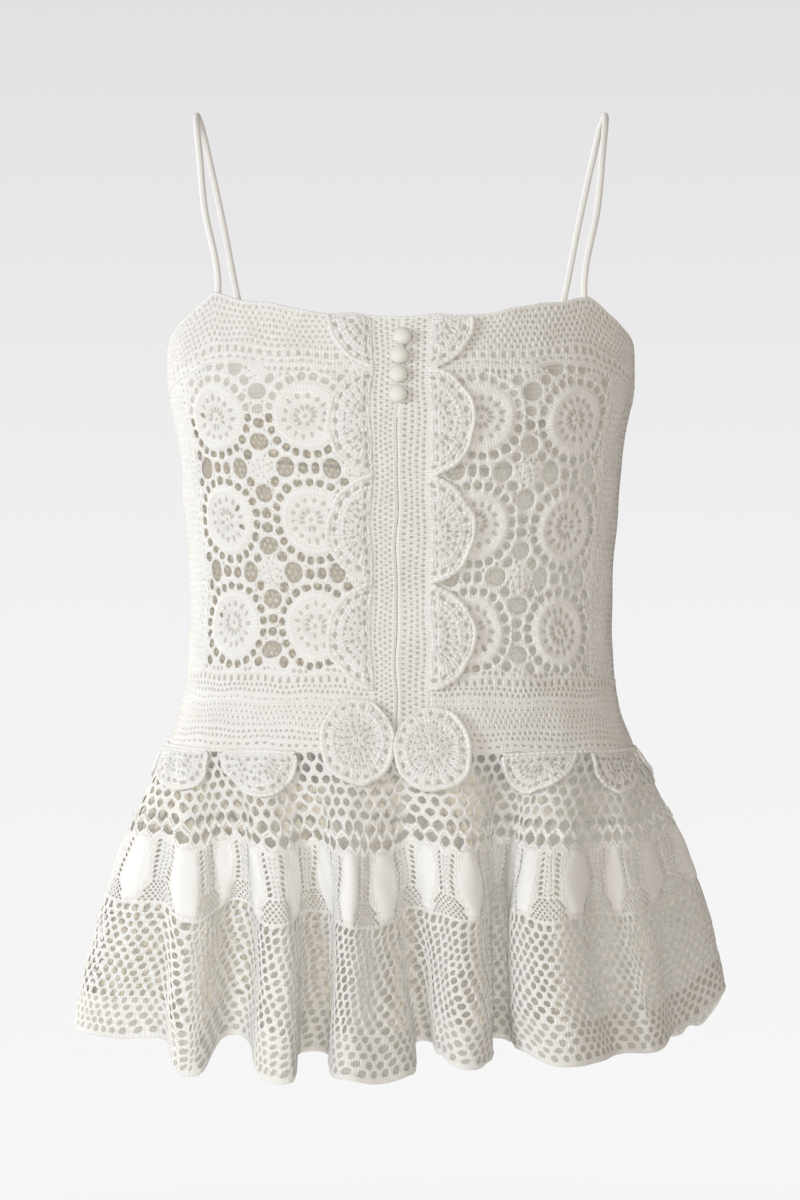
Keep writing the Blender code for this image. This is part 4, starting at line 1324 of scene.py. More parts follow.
# ---------------------------------------------------------------- half rounds: the placket's trims and the waist edging
def half_round_lace(radius, seed, top_at=None):
    """A half round of lace, its flat side on the y axis and bulging to +x. top_at cuts it off at that height."""
    rng = np.random.default_rng(seed)
    vary = lambda amount: 1 + rng.uniform(-1, 1) * amount
    k = radius / 0.0282
    high = math.pi / 2 if top_at is None else math.asin(top_at / radius)
    arc = np.linspace(-math.pi / 2, high, 60 if top_at is None else 34)
    inner_x = -0.0010
    outline = [np.stack([radius * np.cos(arc), radius * np.sin(arc)], 1)]
    upper = radius if top_at is None else top_at
    if top_at is not None:
        x = np.linspace(outline[0][-1, 0], inner_x, 16)[1:]
        outline.append(np.stack([x, np.full(len(x), top_at)], 1))
    y = np.linspace(upper, -radius, 30 if top_at is None else 18)[1:-1]
    outline.append(np.stack([np.full(len(y), inner_x), y], 1))
    outline = np.concatenate(outline)
    holes = []
    for i in range(11):
        a = math.radians(-82 + 16.4 * i)
        r = 0.0243 * k * vary(0.012)
        holes.append(oval(r * math.cos(a), r * math.sin(a), 0.00150 * vary(0.2), 0.00200 * vary(0.2), a + rng.uniform(-0.3, 0.3), 9, 1.8))
    for y in np.arange(-3, 4) * 0.0064 * k:
        holes.append(oval(0.0038 * vary(0.12), y + rng.uniform(-1, 1) * 0.0005, 0.00105 * vary(0.15), 0.0017 * vary(0.15), 0, 9))
    for r, count, across, along in ((0.0166, 13, 0.00080, 0.00130), (0.0122, 9, 0.00115, 0.00145), (0.0080, 6, 0.00085, 0.00110)):
        for i in range(count):
            a = math.radians(-78 + 156 * i / (count - 1))
            rr = r * k * vary(0.05)
            a += rng.uniform(-0.05, 0.05)
            x, y = 0.0012 + rr * math.cos(a), rr * math.sin(a)
            if x > 0.0060:
                holes.append(oval(x, y, along * vary(0.3), across * vary(0.3), a + rng.uniform(-0.5, 0.5), 7))
    for y in (-0.0120, -0.0040, 0.0040, 0.0120):
        holes.append(oval(0.0076 * vary(0.1), y * k, 0.0005, 0.0011, 0, 6))
    if top_at is not None:
        holes = [h for h in holes if h[:, 1].max() < top_at - 0.0008]
    holes = [h for h in holes if h[:, 0].min() > 0.0009]
    holes = settle(holes, 0.0005)
    extra = []
    for r, count in ((0.0178, 34), (0.0192, 36), (0.0208, 38), (0.0270, 44)):
        a = np.linspace(-math.pi / 2, math.pi / 2, count)
        extra.append(np.stack([r * k * np.cos(a), r * k * np.sin(a)], 1))
    # every hole is closed by a film, whose darker cotton paints shade
    verts, h, free, faces, slots = lace(outline, holes, 0.0013, 0.0016, 0.0026, np.concatenate(extra), floors=lambda q: FLOOR)
    r = np.linalg.norm(verts, axis=1) / k
    lift = 0.0005 * np.exp(-(((r - 0.0185) / 0.0012) ** 2)) + 0.00025 * np.exp(-(((r - 0.0115) / 0.0040) ** 2))
    uv = polar_uv(verts, faces, [(0.0, 0.0)], radius + 0.01, 63, 0.0085)
    return verts, h, faces, uv, lift, slots


def rim_path(radius, place, count, out, low=-math.pi / 2, high=math.pi / 2, seed=0):
    """A path round the rim, a little wavy as a hand-worked edge is, and its upward direction."""
    angle = np.linspace(low, high, count)
    wave = 1 + 0.011 * np.sin(7 * angle + seed) + 0.007 * np.sin(13 * angle + 2.3 * seed)
    q = np.stack([radius * wave * np.cos(angle), radius * wave * np.sin(angle)], 1)
    out = out + 0.0003 * np.sin(9 * angle + 1.7 * seed)
    on = place(q, out + np.zeros(count))
    more = place(q, out + np.full(count, 0.001))
    up = more - on
    return on, up / np.linalg.norm(up, axis=1)[:, None]


NO_QUADS = np.zeros((0, 4), int)
TRIM_MID = (TRIM_LOW + TRIM_HIGH) / 2
FIRST_TRIM = -0.1380
ROPE = 0.00180
for name, sign in (("scallop_trim_right", 1), ("scallop_trim_left", -1)):
    shell, cords = Shell(), Cords()
    for k in range(4):
        z0 = FIRST_TRIM - k * PITCH_Z
        top_at = None if k else -0.0008

        def place(q, out, z0=z0, sign=sign, k=k):
            # longer than deep, and narrowing to the cusps
            z = z0 + q[:, 1] * 1.125
            far = np.clip(np.abs(q[:, 1]) / TRIM_RADIUS, 0, 1)
            s = sign * (PLACKET_HALF + 0.0002 + q[:, 0] * 0.93 * (1 - 0.30 * far**3) - 0.0012 * far**6)
            u = s / quarter_length(z)
            if k == 0:
                z = edge_at(u, 1) - 0.0004 + q[:, 1] * 1.125
            # the root is level with the placket, and the free rim stands a little off the lace behind it
            off = 0.0008 * np.clip(q[:, 0] / TRIM_RADIUS, 0, 1) ** 2
            rise = np.clip((q[:, 0] + 0.001) / 0.009, 0, 1)
            base = 0.0011 + (TRIM_MID + 0.0004 - 0.0011) * rise * rise * (3 - 2 * rise)
            return cloth(u, z, np.asarray(out) + base + off)

        verts, h, faces, uv, lift, slots = half_round_lace(TRIM_RADIUS - 0.0010, 20 + k + 10 * (sign > 0), top_at)
        shell.add(lambda out: place(verts, out), h, lift, NO_QUADS, faces, uv, flip=sign < 0, tri_slot=slots)
        high = math.pi / 2 if k else -0.03
        path, up = rim_path(TRIM_RADIUS - 0.0008, place, 110 if k else 56, 0.0003, -math.pi / 2, high, k + 5 * sign)
        cords.add(path, ROPE, 10, up, bumps=0.12, period=0.0040, squash=0.80)
    obj = finish_piece(shell.build(name.title().replace("_", "") + "Lace"), TRIM_LOOK, name, "cotton_trim", HOLLOW_PAINTED_SHADE)
    cord = finish_piece(cords.build(name.title().replace("_", "") + "Cord"), CORD_LOOK, None, "cotton_trim")

drop = abs(FOLD[6][5] - SEAM)
ring_length = float(2 * (quarter_length(SEAM) + quarter_length(SEAM, True)))
EDGING_MID = (EDGING_LOW + EDGING_HIGH) / 2
pitch = (ring_length + SCALLOP_LAST - SCALLOP_FIRST) / (SCALLOPS - 1)
behind = SCALLOP_FIRST + (SCALLOPS // 2 - 0.5) * pitch


def to_side(p):
    """1 at the side seams, and 0 away from them."""
    return np.exp(-(((np.abs((p / 9 + 2) % 4 - 2) - 1) / 0.22) ** 2))


for name, k0, k1 in (("scallop_edging_right", 0, SCALLOPS // 2), ("scallop_edging_left", SCALLOPS // 2, SCALLOPS)):
    shell, cords = Shell(), Cords()
    for k in range(k0, k1):

        def place(q, out, k=k):
            p = (SCALLOP_FIRST + k * pitch + q[:, 1]) * REPEATS / ring_length
            t = 0.004 + (SCALLOP_HEADER + q[:, 0]) / drop
            # it lies closer at the sides, and at the root
            root = np.clip((q[:, 0] + 0.001) / 0.009, 0, 1)
            off = (1 - 0.45 * to_side(p)) * (0.55 + 0.45 * root * root * (3 - 2 * root))
            return skirt(p, t, np.asarray(out) + (EDGING_MID + 0.0004) * off)

        verts, h, faces, uv, lift, slots = half_round_lace(SCALLOP_RADIUS - 0.0010, 60 + k)
        shell.add(lambda out: place(verts, out), h, lift, NO_QUADS, faces, uv, flip=False, tri_slot=slots)
        path, up = rim_path(SCALLOP_RADIUS - 0.0008, place, 96, 0.0003, seed=k)
        cords.add(path, 0.00155, 8, up, bumps=0.12, period=0.0038, squash=0.85)
    # the header: a chain of stitches along the seam
    lo = SCALLOP_FIRST - SCALLOP_RADIUS if k0 == 0 else behind
    hi = behind if k0 == 0 else SCALLOP_FIRST + (SCALLOPS - 1) * pitch + SCALLOP_RADIUS
    along = np.linspace(lo, hi, int((hi - lo) / 0.0011))
    ps, ts = along * REPEATS / ring_length, np.full(len(along), 0.004 + 0.0008 / drop)
    off = 0.0020 * (1 - 0.30 * to_side(ps))
    path = skirt(ps, ts, off)
    up = skirt(ps, ts, off + 0.001) - path
    cords.add(path, 0.00115, 6, up / np.linalg.norm(up, axis=1)[:, None], bumps=0.30, period=0.0044)
    obj = finish_piece(shell.build(name.title().replace("_", "") + "Lace"), TRIM_LOOK, name, "cotton_trim", HOLLOW_PAINTED_SHADE)
    finish_piece(cords.build(name.title().replace("_", "") + "Cord"), CORD_LOOK, None, "cotton_trim")


# ---------------------------------------------------------------- rosettes
def rosette_lace(radius, seed):
    rng = np.random.default_rng(seed)
    vary = lambda amount: 1 + rng.uniform(-1, 1) * amount
    a = np.linspace(0, 2 * np.pi, 90, endpoint=False)
    outline = np.stack([radius * np.cos(a), radius * np.sin(a)], 1)
    holes = [oval(0, 0, 0.0009, 0.0009, sides=7)]
    for r, count, across, along, sides in (
        (0.0200, 19, 0.00150, 0.00125, 9),
        (0.0142, 21, 0.00070, 0.00085, 7),
        (0.0111, 16, 0.00075, 0.00105, 7),
        (0.0077, 12, 0.00075, 0.00110, 7),
        (0.0043, 7, 0.00070, 0.00100, 7),
    ):
        phase = rng.uniform(0, 1)
        for i in range(count):
            b = phase + 2 * np.pi * i / count
            rr = r * vary(0.02 if r > 0.018 else 0.06)
            lean = 0 if r > 0.018 else rng.uniform(-0.6, 0.6)
            holes.append(oval(rr * np.cos(b), rr * np.sin(b), along * vary(0.2), across * vary(0.2), b + lean, sides, 2.2))
    holes = settle(holes, 0.00045)
    extra = []
    for r, count in ((0.0028, 12), (0.0071, 26), (0.0150, 34), (0.0168, 38), (0.0184, 40)):
        b = np.linspace(0, 2 * np.pi, count, endpoint=False)
        extra.append(np.stack([r * np.cos(b), r * np.sin(b)], 1))
    # every hole is closed by a film, whose darker cotton paints shade
    verts, h, free, faces, slots = lace(outline, holes, 0.0014, 0.0015, 0.0024, np.concatenate(extra), floors=lambda q: FLOOR)
    r = np.linalg.norm(verts, axis=1)
    lift = 0.0006 * np.exp(-(((r - 0.0166) / 0.0020) ** 2)) + 0.0005 * np.exp(-((r / 0.0105) ** 4))
    return verts, h, faces, polar_uv(verts, faces, (0, 0), 1.0, 52), lift, slots


# each rosette is a little longer than wide: sideways move, and its width and height as shares of the CAD disc's
ROSETTE_SHAPE = {"left": (0.0010, 0.915, 1.07), "right": (-0.0032, 0.950, 1.07)}
for number, (side_name, s0, z0) in enumerate(ROSETTE):

    def place(q, out, s0=s0, z0=z0, shape=ROSETTE_SHAPE[side_name]):
        s, z = s0 + shape[0] + q[:, 0] * shape[1], z0 - 0.0005 + q[:, 1] * shape[2]
        base = front_out(s, z, np.full(len(s), ROSETTE_LOW))
        flat = np.minimum.reduce([front_out(s + d, z, np.full(len(s), ROSETTE_LOW))[:, 1] for d in (-0.007, 0.0, 0.007)])
        y = np.minimum(base[:, 1], flat)
        return np.stack([base[:, 0], y - 0.0010 - np.asarray(out), base[:, 2]], 1)

    verts, h, faces, uv, lift, slots = rosette_lace(ROSETTE_RADIUS - 0.0010, 90 + number)
    shell = Shell()
    shell.add(lambda out: place(verts, out), h, lift, NO_QUADS, faces, uv, tri_slot=slots)
    finish_piece(shell.build("Rosette" + side_name.title() + "Lace"), TRIM_LOOK, "rosette_" + side_name, "cotton_trim", HOLLOW_PAINTED_SHADE)
    # its rope is full below and outside, and thins out where it meets the placket
    turn = np.linspace(0, 2 * np.pi, 170, endpoint=False)
    wave = 1 + 0.012 * np.sin(7 * turn + number) + 0.007 * np.sin(12 * turn + 2 * number)
    circle = (ROSETTE_RADIUS - 0.0008) * wave[:, None] * np.stack([np.cos(turn), np.sin(turn)], 1)
    path = place(circle, 0.0003 * np.sin(9 * turn))
    inner_top = math.radians(62 if side_name == "left" else 118)
    near = np.clip((np.cos(turn - inner_top) - 0.25) / 0.6, 0, 1)
    cords = Cords()
    cords.add(
        path, ROPE * (1.06 - 0.60 * near), 10, np.tile([0.0, -1.0, 0.0], (len(path), 1)), closed=True, bumps=0.10, period=0.0034
    )
    finish_piece(cords.build("Rosette" + side_name.title() + "Cord"), CORD_LOOK, None, "cotton_trim")

# ---------------------------------------------------------------- peplum
TILE_TOP, TILE_FOOT = 0.312, 0.540      # the leaf band, as shares of the peplum's drop
TILE_W, TILE_H = 0.0340, 0.0433         # one repeat of it, flat
ZIG = 0.25                              # how far the line between staggered rows goes up and down
NET_THICK = 0.0009
UPPER = [row(1.0)] + rows_of(6, 6.6, (0.70, 0.92), mids=True) + [
    row(9.2, 2, 0, (0.80, 0.92), 1.8, mids=True),
    row(9.2, 2, 1, (0.78, 0.86), 1.7, mids=True),
]
UPPER_DROP = sum(r["high"] for r in UPPER)
LAST_RISE = ZIG * UPPER[-1]["high"] / UPPER_DROP


def leaf_half(down):
    """Half the leaf's width at a distance down the tile."""
    share = np.clip((down + 0.0018) / 0.0438, 0, 1)
    return 0.0090 * np.clip(np.sin(np.pi * share), 0, 1) ** 0.42


def leaf_tile(half=False, across_foot=10, shut=False):
    """One repeat of the leaf band, from the middle of one leaf to the middle of the next, x across and y up from its foot.

    Its top goes up and down with the openwork above it. half gives the part with x over 0, closed along x = 0."""
    rise = LAST_RISE * (TILE_TOP - 0.003) / (TILE_FOOT - TILE_TOP) * TILE_H
    y = lambda down: TILE_H - down
    holes = []
    for s in (1,) if half else (-1, 1):
        holes.append(oval(s * 0.0098, y(0.0034), 0.0011, 0.0015, -0.35 * s, sides=8))
        for k in range(8):
            d = 0.0036 + 0.0033 * k
            x = s * (0.0060 - 0.0016 * k / 7) + RNG.uniform(-1, 1) * 0.0002
            holes.append(oval(x, y(d), 0.0017 * jitter(0.12), 0.00090 * jitter(0.15), -0.62 * s, sides=7))
        for k in range(9):
            holes.append(oval(s * 0.0015, y(0.0050 + 0.0028 * k), 0.00090, 0.00034, 0.75 * s, sides=5))
    for k in range(8):
        d = 0.0282 + 0.00186 * k
        reach = TILE_W / 2 - float(leaf_half(np.array(d))) - 0.0013
        if k < 3:
            reach = min(reach, 0.0040 + 0.0022 * k)
        for i in range(-8, 9):
            x = (i + 0.5 * (k % 2)) * 0.0031
            if abs(x) < reach and (not half or x > 0.0010):
                holes.append(oval(x, y(d), 0.00092, 0.00084, 0, sides=6, power=1.7))
    holes = settle(holes, 0.00048)
    up = 12
    first = 0 if half else -3
    line = [(TILE_W * k / 6, TILE_H - rise * (1 if k % 2 == 0 else -1)) for k in range(first, 4)]
    x0 = line[0][0]
    left = [(x0, line[0][1] * (1 - k / up)) for k in range(up)]
    low = [(TILE_W * k / across_foot, 0.0) for k in range(0 if half else -across_foot // 2, across_foot // 2)]
    right = [(TILE_W / 2, line[-1][1] * k / up) for k in range(up)]
    high = line[:0:-1]
    outline = np.array(left + low + right + high)
    holes = [q for q in holes if inside(q, outline).all() and to_edges(q, [outline]).min() > 0.0005]
    leaf = []
    for s in (-1, 1):
        for dx in (0.0020, 0.0042, 0.0064, 0.0080):
            for d in np.arange(-0.001, 0.041, 0.0036):
                leaf.append((s * (TILE_W / 2 - dx), y(d)))

    def open_edge(q):
        sides = (np.abs(q[:, 0] - TILE_W / 2) < 1e-6) | (np.abs(q[:, 1]) < 1e-6)
        if not half:
            sides |= np.abs(q[:, 0] + TILE_W / 2) < 1e-6
        across, tall = zip(*line)
        return sides | (np.abs(q[:, 1] - np.interp(q[:, 0], across, tall)) < 1e-6)

    # on the back, the tile's holes are closed by films in painted shade
    film = (lambda q: FLOOR) if shut else None
    verts, h, free, faces, slots = lace(outline, holes, NET_THICK, 0.0010, 0.0032, np.array(leaf), open_edge=open_edge, floors=film)
    down = TILE_H - verts[:, 1]
    across = TILE_W / 2 - np.abs(verts[:, 0])
    wide = leaf_half(down)
    pad = np.clip(1 - (across / np.maximum(wide, 1e-4)) ** 2, 0, 1) * (wide > 0.001)
    pad *= np.clip((down + rise) / 0.0045, 0, 1) * np.clip((TILE_H - down) / 0.003, 0, 1)
    return verts, h, faces, pad, slots


TILES = {n: (leaf_tile(False, n, n == 10), leaf_tile(True, n, n == 10)) for n in (10, 12)}


def peplum_piece(name, first, count, floor=0.0, fine=10, rows=11):
    shell = Shell()
    tile, seam_tile = TILES[fine]
    A, B, H, quads, tris, slots = net(
        count * 6,
        UPPER,
        NET_THICK,
        closed=(True, False, True, True),
        wander=0.13,
        zig=ZIG,
        ends=(None, lambda ks: np.where(ks % 2 == 0, LAST_RISE, -LAST_RISE)),
        floor=floor,
    )
    p = first + count * A
    t = 0.003 + (TILE_TOP - 0.003) * B
    shell.add(
        lambda out: skirt(p, t, out), H, 0.0, quads, tris, np.stack([p * 0.034, -t * 0.19], 1), tri_slot=slots * 2,
        outer=(2, 3) if floor else None,
    )
    ps, ts, hs, pads, fs, shuts, n = [], [], [], [], [], [], 0
    for k in range(count + 1):
        verts, h, faces, pad, films = seam_tile if k in (0, count) else tile
        shuts.append(films * 2)
        turn = -1 if k == count else 1
        ps.append(first + k + turn * verts[:, 0] / TILE_W)
        ts.append(TILE_FOOT + (TILE_TOP - TILE_FOOT) * verts[:, 1] / TILE_H)
        hs.append(h)
        pads.append(pad)
        fs.append(faces[:, ::turn] + n)
        n += len(verts)
    ps, ts, hs, pads, f = (np.concatenate(x) for x in (ps, ts, hs, pads, fs))
    edge = (np.abs(ps - first) < 1e-6) | (np.abs(ps - first - count) < 1e-6)
    hs = np.where(edge, 0, hs)
    slot = (pads > 0.04).astype(int)
    shell.add(
        lambda out: skirt(ps, ts, out), hs + 0.0005 * pads * (hs > 0), 0.0009 * pads, NO_QUADS, f,
        np.stack([ps * 0.034, -ts * 0.19], 1), slot=slot, tri_slot=np.concatenate(shuts),
        outer=(2, 3) if floor else None,
    )
    lower = [row(5.9, 2, 1, (0.62, 0.84), 3.2, mids=True)]
    lower += rows_of(rows, 76.0 / (rows + 5), (0.58, 0.96), 0, power=2.5, mids=True)
    # the last five rows' holes are closed by films in painted shade
    lower += rows_of(5, 76.0 / (rows + 5), (0.57, 0.92), rows % 2, power=2.5, mids=True, shut=True)
    lower += [row(3.2, thick=0.0011)]
    A, B, H, quads, tris, slots = net(
        count * fine, lower, NET_THICK, closed=(False, True, True, True), wander=0.14, zig=0.20, floor=floor
    )
    # the columns spread evenly round the hem
    at_hem = np.linspace(first, first + count, 1441)
    run = np.concatenate([[0], np.cumsum(np.linalg.norm(np.diff(on_curve(HEM, np.minimum(at_hem, 26.9999)), axis=0), axis=1))])
    even = np.interp(A * run[-1], run, at_hem)
    ease = np.clip(B, 0, 1) ** 0.8
    p, t = (first + count * A) * (1 - ease) + even * ease, TILE_FOOT + (1 - TILE_FOOT) * B
    shell.add(
        lambda out: skirt(p, t, out), H, 0.0, quads, tris, np.stack([p * 0.044, -t * 0.19], 1), tri_slot=slots * 2,
        outer=(2, 3) if floor else None,
    )
    # the back's holes are closed by films in painted shade, and its cotton is paler, painted light
    hollows = (BACK_INNER_HOLLOW_PAINTED_SHADE, BACK_OUTER_HOLLOW_PAINTED_SHADE) if floor else (HOLLOW_PAINTED_SHADE,)
    obj = finish_piece(
        shell.build(name.title().replace("_", "") + "Lace"),
        BACK_PAINTED_LIGHT_LOOK if floor else PEPLUM_LOOK,
        name,
        "cotton_crochet",
        LEAF_LOOK,
        *hollows,
    )
    # twisted cords run up and down between the two rows of large holes, and over the leaves
    cords = Cords()
    high = np.array([r["high"] for r in UPPER])
    at = np.concatenate([[0], np.cumsum(high)]) / high.sum()
    ks = np.linspace(0.1, count * 6 - 0.1, count * 48)
    for line, rise, sign, radius in (
        (at[-2], (high[-1] + high[-2]) / high.sum() / 2 * ZIG, -1, 0.00135),
        (at[-1], LAST_RISE, 1, 0.00085),
    ):
        # the same up and down as the net's own line, with its corners rounded
        up_down = np.cos(np.pi * ks) + np.cos(3 * np.pi * ks) / 9
        b = line + sign * rise * 0.95 * up_down
        p, t = first + ks / 6, 0.003 + (TILE_TOP - 0.003) * b
        path = skirt(p, t, np.full(len(p), 0.0005))
        up = skirt(p, t, np.full(len(p), 0.0015)) - path
        cords.add(path, radius, 6, up / np.linalg.norm(up, axis=1)[:, None], bumps=0.12, period=0.0036)
    finish_piece(cords.build(name.title().replace("_", "") + "Cord"), CORD_LOOK, None, "cotton_trim")
    return obj


# repeats are counted so that a leaf's middle falls on p = n + 0.5
peplum_piece("peplum_front", -9, 18, 0.0, 12, 12)
peplum_piece("peplum_back", 9, 18, FLOOR)


# ---------------------------------------------------------------- buttons
def button(number, x, z):
    u = np.array(x / quarter_length(z))
    base = body_out(u, np.array(z), np.array(WALL / 2 + 0.0006))
    normal = body_out(u, np.array(z), np.array(1.0)) - body_out(u, np.array(z), np.array(0.0))
    across = np.cross(normal, (0, 0, 1))
    across /= -np.linalg.norm(across)
    upward = np.cross(across, -normal)
    profile = [(0.30, 0.0), (0.55, 0.0), (0.80, 0.0004), (0.93, 0.0010), (0.99, 0.0018), (1.0, 0.0026), (0.985, 0.0033)]
    profile += [(0.94, 0.0041), (0.86, 0.0048), (0.74, 0.0055), (0.58, 0.0060), (0.40, 0.0064), (0.20, 0.0066)]
    sides = 40
    co, uv, quads, tris = [], [], [], []
    for share, up in profile:
        for k in range(sides):
            turn = 2 * np.pi * k / sides
            # the cloth is gathered behind the rim
            pleat = 1 + 0.008 * math.cos(turn * 12) * (share > 0.7) * (up < 0.003)
            d = BUTTON_RADIUS * share * pleat
            co.append(base + d * (np.cos(turn) * across + np.sin(turn) * upward) + up * normal)
            uv.append((d * np.cos(turn), d * np.sin(turn)))
    co += [base, base + 0.0067 * normal]
    uv += [(0, 0), (0, 0)]
    last = (len(profile) - 1) * sides
    for i in range(len(profile) - 1):
        for k in range(sides):
            a, b = i * sides + k, i * sides + (k + 1) % sides
            quads.append((a, b, b + sides, a + sides))
    for k in range(sides):
        tris.append((len(co) - 2, (k + 1) % sides, k))
        tris.append((len(co) - 1, last + k, last + (k + 1) % sides))
    obj = mesh_of(f"Button{number}Cloth", np.array(co), quads, tris, np.array(uv), weld=0)
    return finish_piece(obj, BUTTON_LOOK, f"button_{number}", "covered_button")


loops = Cords()
for k, (x, z) in enumerate(BUTTON):
    button(k + 1, x, z)
    # the loop of yarn that holds it, from the edge of the right strip
    turn = np.linspace(-1.25, 1.25, 22)
    s = x + 0.0016 + (BUTTON_RADIUS + 0.0006) * np.cos(turn) * 0.92
    zz = z + (BUTTON_RADIUS - 0.0006) * np.sin(turn)
    u = s / quarter_length(zz)
    path = body_out(u, zz, np.full(len(u), WALL / 2 + 0.0012))
    up = body_out(u, zz, np.full(len(u), WALL / 2 + 0.0022)) - path
    loops.add(path, 0.0007, 6, up, bumps=0.1, period=0.0016)
finish_piece(loops.build("ButtonLoops"), CORD_LOOK, None, "cotton_trim")


# ---------------------------------------------------------------- straps
def strap_feet(sign):
    feet = []
    for angle, above, below in STRAP_FOOT:
        share = np.linspace(0, 2, 401)
        v = np.full(share.shape, -0.16)
        ratio = np.where(share > 1, section(v, 3), section(v, 2)) / section(v, 1)
        angles = np.degrees(angle_at(ratio, np.where(share > 1, 2 - share, share)))
        angles = np.where(share > 1, 180 - angles, angles)
        u = np.interp(angle, angles, share) * sign
        v = edge_at(u, 1)
        inside_by = -(WALL / 2 + STRAP_RADIUS + 0.0006)
        feet.append([body_out(u, np.asarray(v + dv), np.asarray(inside_by)) for dv in (-below, -below / 3, above)])
    front, back = feet
    return front, back[::-1]


for name, sign in (("strap_right", 1), ("strap_left", -1)):
    front, back = strap_feet(sign)
    path = np.array(front + [(sign * x, y, z) for x, y, z in STRAP] + back)
    run = np.concatenate([[0], np.cumsum(np.linalg.norm(np.diff(path, axis=0), axis=1))])
    where = np.linspace(0, run[-1], 260)
    points = np.stack([smooth_at(where, run, path[:, k]) for k in range(3)], 1)
    co, quads, tris, uv = tube(points, STRAP_RADIUS, 16, np.tile([float(sign), 0.0, 0.0], (len(points), 1)), squash=0.94)
    obj = mesh_of(name.title().replace("_", "") + "Rouleau", co, quads, tris, uv, weld=0)
    finish_piece(obj, STRAP_LOOK, name, "rouleau_strap")


def front_width(v):
    return quarter_length(v) - PLACKET_HALF


def back_width(v):
    return 2 * quarter_length(v, True)


for part in ("FrontRight", "FrontLeft", "Back"):
    width = back_width if part == "Back" else front_width
    width(-0.180) + 0.004
    width(-0.200) + 0.004
    width(-0.400) + 0.004


def arc(curve, p0, p1):
    ps = np.linspace(p0, p1, 2001)
    return float(np.linalg.norm(np.diff(on_curve(curve, ps), axis=0), axis=1).sum())


for part in ("Right", "Left"):
    run = (5 if part == "Right" else 6) * pitch

# ---------------------------------------------------------------- stage, light and camera
def disc(name, radius, z, look):
    sides = 128
    co = [(0, 0, z)] + [
        (radius * math.cos(2 * math.pi * k / sides), radius * math.sin(2 * math.pi * k / sides), z) for k in range(sides)
    ]
    tris = [(0, 1 + k, 1 + (k + 1) % sides) for k in range(sides)]
    obj = mesh_of(name, np.array(co, float), [], tris, np.array(co, float)[:, :2], weld=0)
    obj.data.materials.append(look)
    return obj


# the floor is a pale round that fades out at its rim into the backdrop
floor_look, tree, shader = nodes_of("pale_floor")
place = tree.nodes.new("ShaderNodeTexCoord")
grain = tree.nodes.new("ShaderNodeTexNoise")
grain.inputs["Scale"].default_value = 3
ramp = tree.nodes.new("ShaderNodeValToRGB")
ramp.color_ramp.elements[0].color = (0.88, 0.88, 0.875, 1)
ramp.color_ramp.elements[1].color = (0.91, 0.91, 0.905, 1)
link(tree, place.outputs["Object"], grain.inputs["Vector"])
link(tree, grain.outputs["Fac"], ramp.inputs[0])
link(tree, ramp.outputs[0], shader.inputs["Base Color"])
shader.inputs["Roughness"].default_value = 0.9
length = tree.nodes.new("ShaderNodeVectorMath")
length.operation = "LENGTH"
link(tree, place.outputs["Object"], length.inputs[0])
fade = tree.nodes.new("ShaderNodeMapRange")
fade.interpolation_type = "SMOOTHSTEP"
fade.inputs["From Min"].default_value = 0.55
fade.inputs["From Max"].default_value = 1.55
fade.inputs["To Min"].default_value = 1.0
fade.inputs["To Max"].default_value = 0.0
link(tree, length.outputs["Value"], fade.inputs["Value"])
link(tree, fade.outputs["Result"], shader.inputs["Alpha"])
disc("Floor", 1.6, -0.86, floor_look)

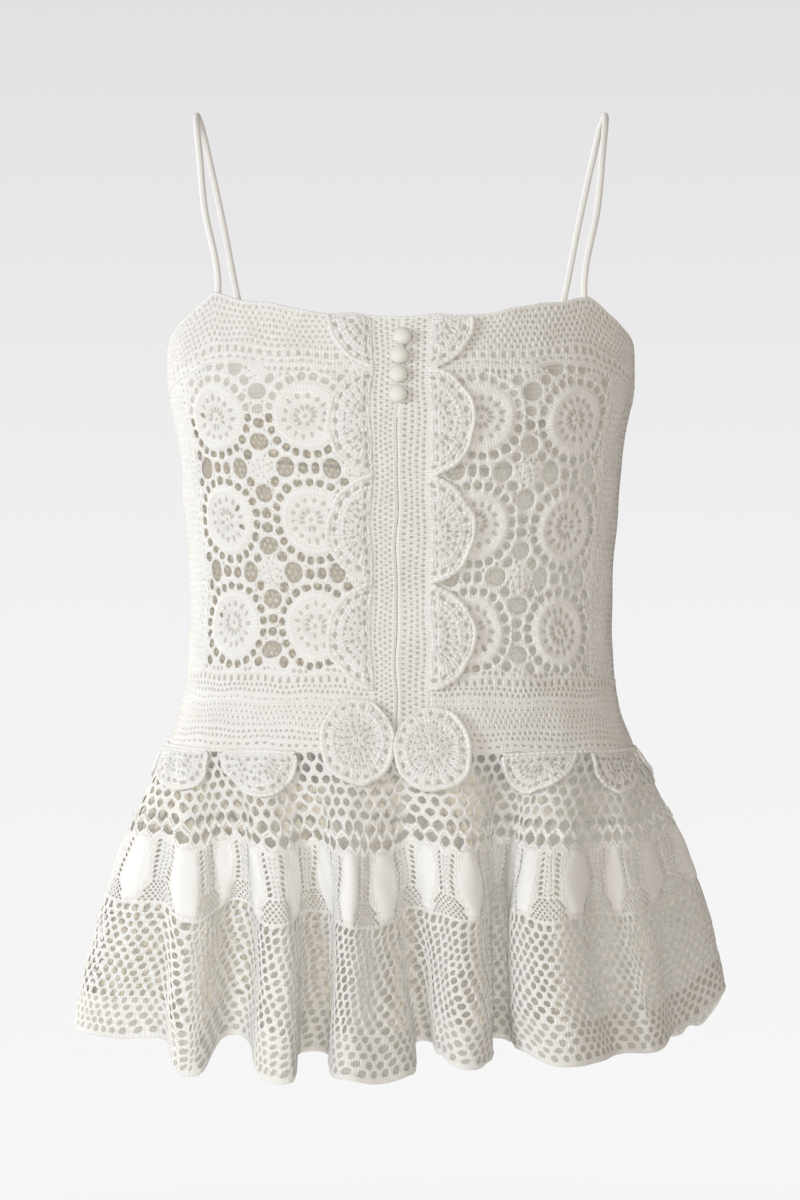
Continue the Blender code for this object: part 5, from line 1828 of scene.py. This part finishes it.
# a pale backdrop, a little darker upwards; what lights the object is dimmer and warmer than what the camera sees
world = bpy.data.worlds.new("studio")
bpy.context.scene.world = world
world.use_nodes = True
wt = world.node_tree
seen = wt.nodes["Background"]
out = wt.nodes["World Output"]
direction = wt.nodes.new("ShaderNodeTexCoord")
split = wt.nodes.new("ShaderNodeSeparateXYZ")
wt.links.new(direction.outputs["Generated"], split.inputs[0])
band = wt.nodes.new("ShaderNodeMapRange")
band.inputs["From Min"].default_value = -0.16
band.inputs["From Max"].default_value = 0.16
wt.links.new(split.outputs["Z"], band.inputs["Value"])
shade = wt.nodes.new("ShaderNodeValToRGB")
shade.color_ramp.elements[0].color = (0.935, 0.935, 0.935, 1)
shade.color_ramp.elements[1].color = (0.760, 0.753, 0.760, 1)
mid = shade.color_ramp.elements.new(0.5)
mid.color = (0.885, 0.882, 0.885, 1)
wt.links.new(band.outputs["Result"], shade.inputs[0])
wt.links.new(shade.outputs[0], seen.inputs[0])
lit = wt.nodes.new("ShaderNodeBackground")
lit.inputs[0].default_value = (1.0, 0.92, 0.83, 1)
lit.inputs[1].default_value = 0.37
rays = wt.nodes.new("ShaderNodeLightPath")
both = wt.nodes.new("ShaderNodeMixShader")
wt.links.new(rays.outputs["Is Camera Ray"], both.inputs[0])
wt.links.new(lit.outputs[0], both.inputs[1])
wt.links.new(seen.outputs[0], both.inputs[2])
wt.links.new(both.outputs[0], out.inputs[0])


def area(name, where, toward, size, power, colour=(1, 1, 1)):
    data = bpy.data.lights.new(name, "AREA")
    data.shape = "RECTANGLE"
    data.size, data.size_y = size
    data.energy = power
    data.color = colour
    obj = bpy.data.objects.new(name, data)
    bpy.context.scene.collection.objects.link(obj)
    obj.location = where
    obj.rotation_euler = (Vector(toward) - Vector(where)).to_track_quat("-Z", "Y").to_euler()
    return obj


area("Key", (-2.0, -1.75, 0.12), (0, 0, -0.35), (0.9, 0.9), 31, (0.86, 0.93, 1.0))
area("Front", (0.0, -2.75, -0.30), (0, 0, -0.33), (0.20, 0.20), 25, (1.0, 0.955, 0.90))
area("Back", (-2.0, 1.45, 0.2), (0, 0, -0.35), (1.4, 1.4), 44, (1.0, 0.985, 0.965))

camera = bpy.data.cameras.new("Camera")
camera.sensor_fit = "VERTICAL"
camera.sensor_height = 24.0
camera.lens = 75.0
camera.clip_end = 50
cam = bpy.data.objects.new("Camera", camera)
bpy.context.scene.collection.objects.link(cam)
cam.location = (-0.00064, -2.4, -0.3123)
cam.rotation_euler = (math.pi / 2, 0, 0)
bpy.context.scene.camera = cam
bpy.context.scene.view_settings.view_transform = "Standard"

total = 0
for obj in PIECES:
    obj.data.calc_loop_triangles()
    print("piece", obj.name, len(obj.data.loop_triangles))
    total += len(obj.data.loop_triangles)
print("all pieces", total)
